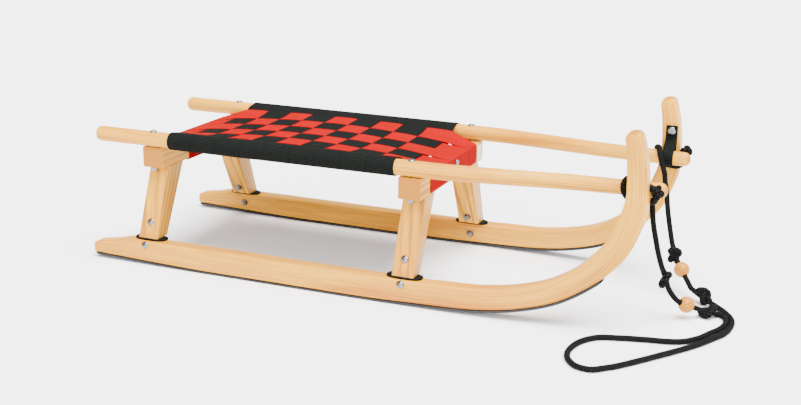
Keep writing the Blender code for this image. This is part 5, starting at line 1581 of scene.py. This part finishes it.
def make_steel(side_name, side):
    """Strip along the runner's underside with rounded ends and flush screws in countersinks."""
    points = [(point - up * (GAP + STEEL_THICKNESS / 2) + Vector((0, side * y, 0)), up)
              for point, run, up, depth, y in steel_line()]
    corner = 0.010
    dense = []
    for (a, up_a), (b, up_b) in zip(points, points[1:]):
        dense += [(a.lerp(b, k / 5), up_a.lerp(up_b, k / 5).normalized()) for k in range(5)]
    dense.append(points[-1])
    travel = distances([point for point, up in dense])
    ease = 0.0006
    rings = []
    for (point, up), place in zip(dense, travel):
        end = min(place, travel[-1] - place, corner)
        cut = math.sqrt(corner ** 2 - (corner - max(end, 0.00005)) ** 2)
        section = rounded_section(RUNNER_WIDTH / 2 - corner + cut, STEEL_THICKNESS / 2, ease,
                                  (0, 45, 90))
        rings.append([point + Vector((0, across, 0)) + up * rise for across, rise in section])
    steel = object_of(skin(rings), "runner_steel_rolled_" + side_name)
    for matrix in steel_screw_places(side):
        sink = STEEL_SCREW_HEAD_RADIUS
        carve(steel, turned([(0.0, 0.002), (sink + 0.0003, 0.002), (sink + 0.0003, 0.0),
                             (0.0023, -0.0026), (0.0, -0.0026)], 32, matrix))
    bm = bmesh.new()
    bm.from_mesh(steel.data)
    for matrix in steel_screw_places(side):
        radius = STEEL_SCREW_HEAD_RADIUS
        profile = [(0.0, -0.0012), (0.0011, -0.0012), (0.0018, -0.0001), (radius - 0.0002, -0.0001),
                   (radius, -0.0003), (0.0020, -0.0025), (0.0020, -STEEL_SCREW_LENGTH + 0.004),
                   (0.0, -STEEL_SCREW_LENGTH)]
        add_to(bm, turned(profile, 32, matrix))
    bm.to_mesh(steel.data)
    bm.free()
    finish_piece(steel, STEEL, "runner_" + side_name, ["runner_steel_" + side_name],
                 32)


# Keeper straps

def cloth_ribbon(name, line, across, width, thickness, material):
    """Webbing with real thickness and rounded edges along a line, its width along one direction."""
    runs = frames_along(line)
    travel = distances(line)
    edge = thickness / 2
    section = [(share, 1) for share in (-0.96, -0.6, -0.2, 0.2, 0.6, 0.96)]
    section += [(1.0, 0.55), (1.0, -0.55)]
    section += [(share, -1) for share in (0.96, 0.6, 0.2, -0.2, -0.6, -0.96)]
    section += [(-1.0, -0.55), (-1.0, 0.55)]
    shares = [0.0] + [abs(b[0] - a[0]) / 2 * width + 0.0003
                      for a, b in zip(section, section[1:] + section[:1])]
    flats = [sum(shares[:k + 1]) for k in range(len(shares))]
    count = len(section)

    def place(i, j):
        share, face = section[i % count]
        point, run = runs[j][:2]
        normal = run.cross(across).normalized()
        return point + across * (share * width / 2) + normal * (face * edge)

    bm = lay_grid(count, len(line) - 1, place, lambda i, j: (travel[j], flats[i]))
    return finish_piece(object_of(bm, name), material, sharp=60)


def keeper_screw_place(side):
    """Matrix with the origin on the keeper's inner layer and Z pointing to the centre plane."""
    y = HORN_INNER_Y - 2 * (GAP + KEEPER_THICKNESS)
    point = Vector((BEAM_X["front"] + KEEPER_X, side * y, RAIL_Z + KEEPER_SCREW_RISE))
    return aimed(point, (0, -side, 0))


def keeper_line(side):
    """Down the horn, round the rail end and back up to the screw."""
    x = BEAM_X["front"] + KEEPER_X
    rail = (rail_y(x), RAIL_Z)
    offset = GAP + KEEPER_THICKNESS / 2
    radius = rail_radius(x - KEEPER_WIDTH / 2) + offset + GAP
    outer_y = HORN_INNER_Y - offset
    inner_y = outer_y - KEEPER_THICKNESS - GAP
    top = RAIL_Z + KEEPER_RISE
    bend = (outer_y, RAIL_Z + KEEPER_BEND_RISE)
    cross = (inner_y, RAIL_Z + KEEPER_CROSS_RISE)
    start = circle_tangent(bend, rail, radius, -1)
    end = circle_tangent(cross, rail, radius, 1)
    path = [(outer_y, top), (outer_y, top - 0.012), (outer_y, bend[1] + 0.004)]
    path += arc(rail, radius, start, end - 360, 10)
    path += [(inner_y, cross[1] + 0.004), (inner_y, top - 0.012), (inner_y, top)]
    return [Vector((x, side * y, z))
            for y, z in smooth_rows(path, 0.0022, measured=2, keep_level=True)]


def make_keeper(side_name, side):
    """Webbing strap that ties the rail end to the horn."""
    line = keeper_line(side)
    keeper = cloth_ribbon("keeper_strap_" + side_name, line, Vector((1, 0, 0)), KEEPER_WIDTH,
                          KEEPER_THICKNESS, BLACK_WEBBING)
    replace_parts(keeper, "keeper_" + side_name)
    x = line[0].x
    rail = Vector((x, side * rail_y(x), RAIL_Z + RAIL_RADIUS))
    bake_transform(keeper)
    make_screw("keeper_screw_" + side_name, KEEPER_SCREW_HEAD_RADIUS, 0.003, 0.0022, 0.022,
               keeper_screw_place(side), "runner_" + side_name)


# Tag and screw on the front beam

def make_strap_screw():
    seat_x = BEAM_X["front"] + BEAM_HALF_WIDTH + GAP + STRAP_THICKNESS
    matrix = aimed((seat_x, STRAP_SCREW_Y, BEAM_TOP_Z - STRAP_SCREW_DROP), (1, 0, 0))
    make_screw("strap_screw", STRAP_SCREW_HEAD_RADIUS, 0.0026, 0.0018, 0.022, matrix, "frame")


def make_tag():
    """Plain ribbon tag folded at the bottom, its two layers sewn together at the top."""
    low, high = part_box("seat_tag")
    layer = 0.00028
    back_x = low.x + layer / 2
    front_x = high.x - layer / 2
    bend = (front_x - back_x) / 2
    middle_x = (front_x + back_x) / 2
    path = [(back_x, high.z), (back_x, low.z + 0.006)]
    path += [(middle_x - bend * cos_of(a), low.z + bend + layer / 2 - bend * sin_of(a))
             for a in range(0, 181, 30)]
    path += [(front_x + 0.0004, low.z + 0.008), (front_x + 0.0002, low.z + 0.018),
             (front_x, high.z)]
    centre_y = (low.y + high.y) / 2
    line = [Vector((x, centre_y, z)) for x, z in path]
    width = high.y - low.y
    tag = cloth_ribbon("tag_folded", line, Vector((0, 1, 0)), width, layer, TAG_CLOTH)
    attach(tag, "frame")
    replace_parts(tag, "seat_tag")
    distances(line)[-1]


# Floor, light and surroundings

def make_floor():
    bm = bmesh.new()
    bmesh.ops.create_grid(bm, x_segments=1, y_segments=1, size=20)
    floor = object_of(bm, "floor")
    material, tree = new_material("pale_floor")
    set_shader(tree, Roughness=0.9, Specular_IOR_Level=0.1, Base_Color=(0.93, 0.93, 0.935, 1))
    floor.data.materials.append(material)


def make_light(name, place, spread, strength):
    """Even soft light from a direction, its size given as the angle in degrees that it fills."""
    light = bpy.data.lights.new(name, "SUN")
    light.angle = math.radians(spread)
    light.energy = strength
    obj = bpy.data.objects.new(name, light)
    obj.matrix_world = aimed(place, place)
    bpy.context.scene.collection.objects.link(obj)


for side_name, side in SIDES:
    make_rail(side_name, side)
    make_runner(side_name, side)
    make_steel(side_name, side)
    make_keeper(side_name, side)
    for place in PLACES:
        make_leg(place, side_name, side)
        make_bearing(place, side_name, side)
for place in PLACES:
    make_beam(place)
make_bolts()
make_strap_screw()
make_tag()

make_floor()
make_light("overhead_softbox", (0.7, -0.35, 3.0), 50, 14.0)
make_light("near_softbox", (0.2, -3.0, 1.5), 60, 4.0)
world = bpy.data.worlds.new("studio")
world.use_nodes = True
world.node_tree.nodes["Background"].inputs["Color"].default_value = (1.0, 1.0, 1.0, 1)
world.node_tree.nodes["Background"].inputs["Strength"].default_value = 0.9
bpy.context.scene.world = world
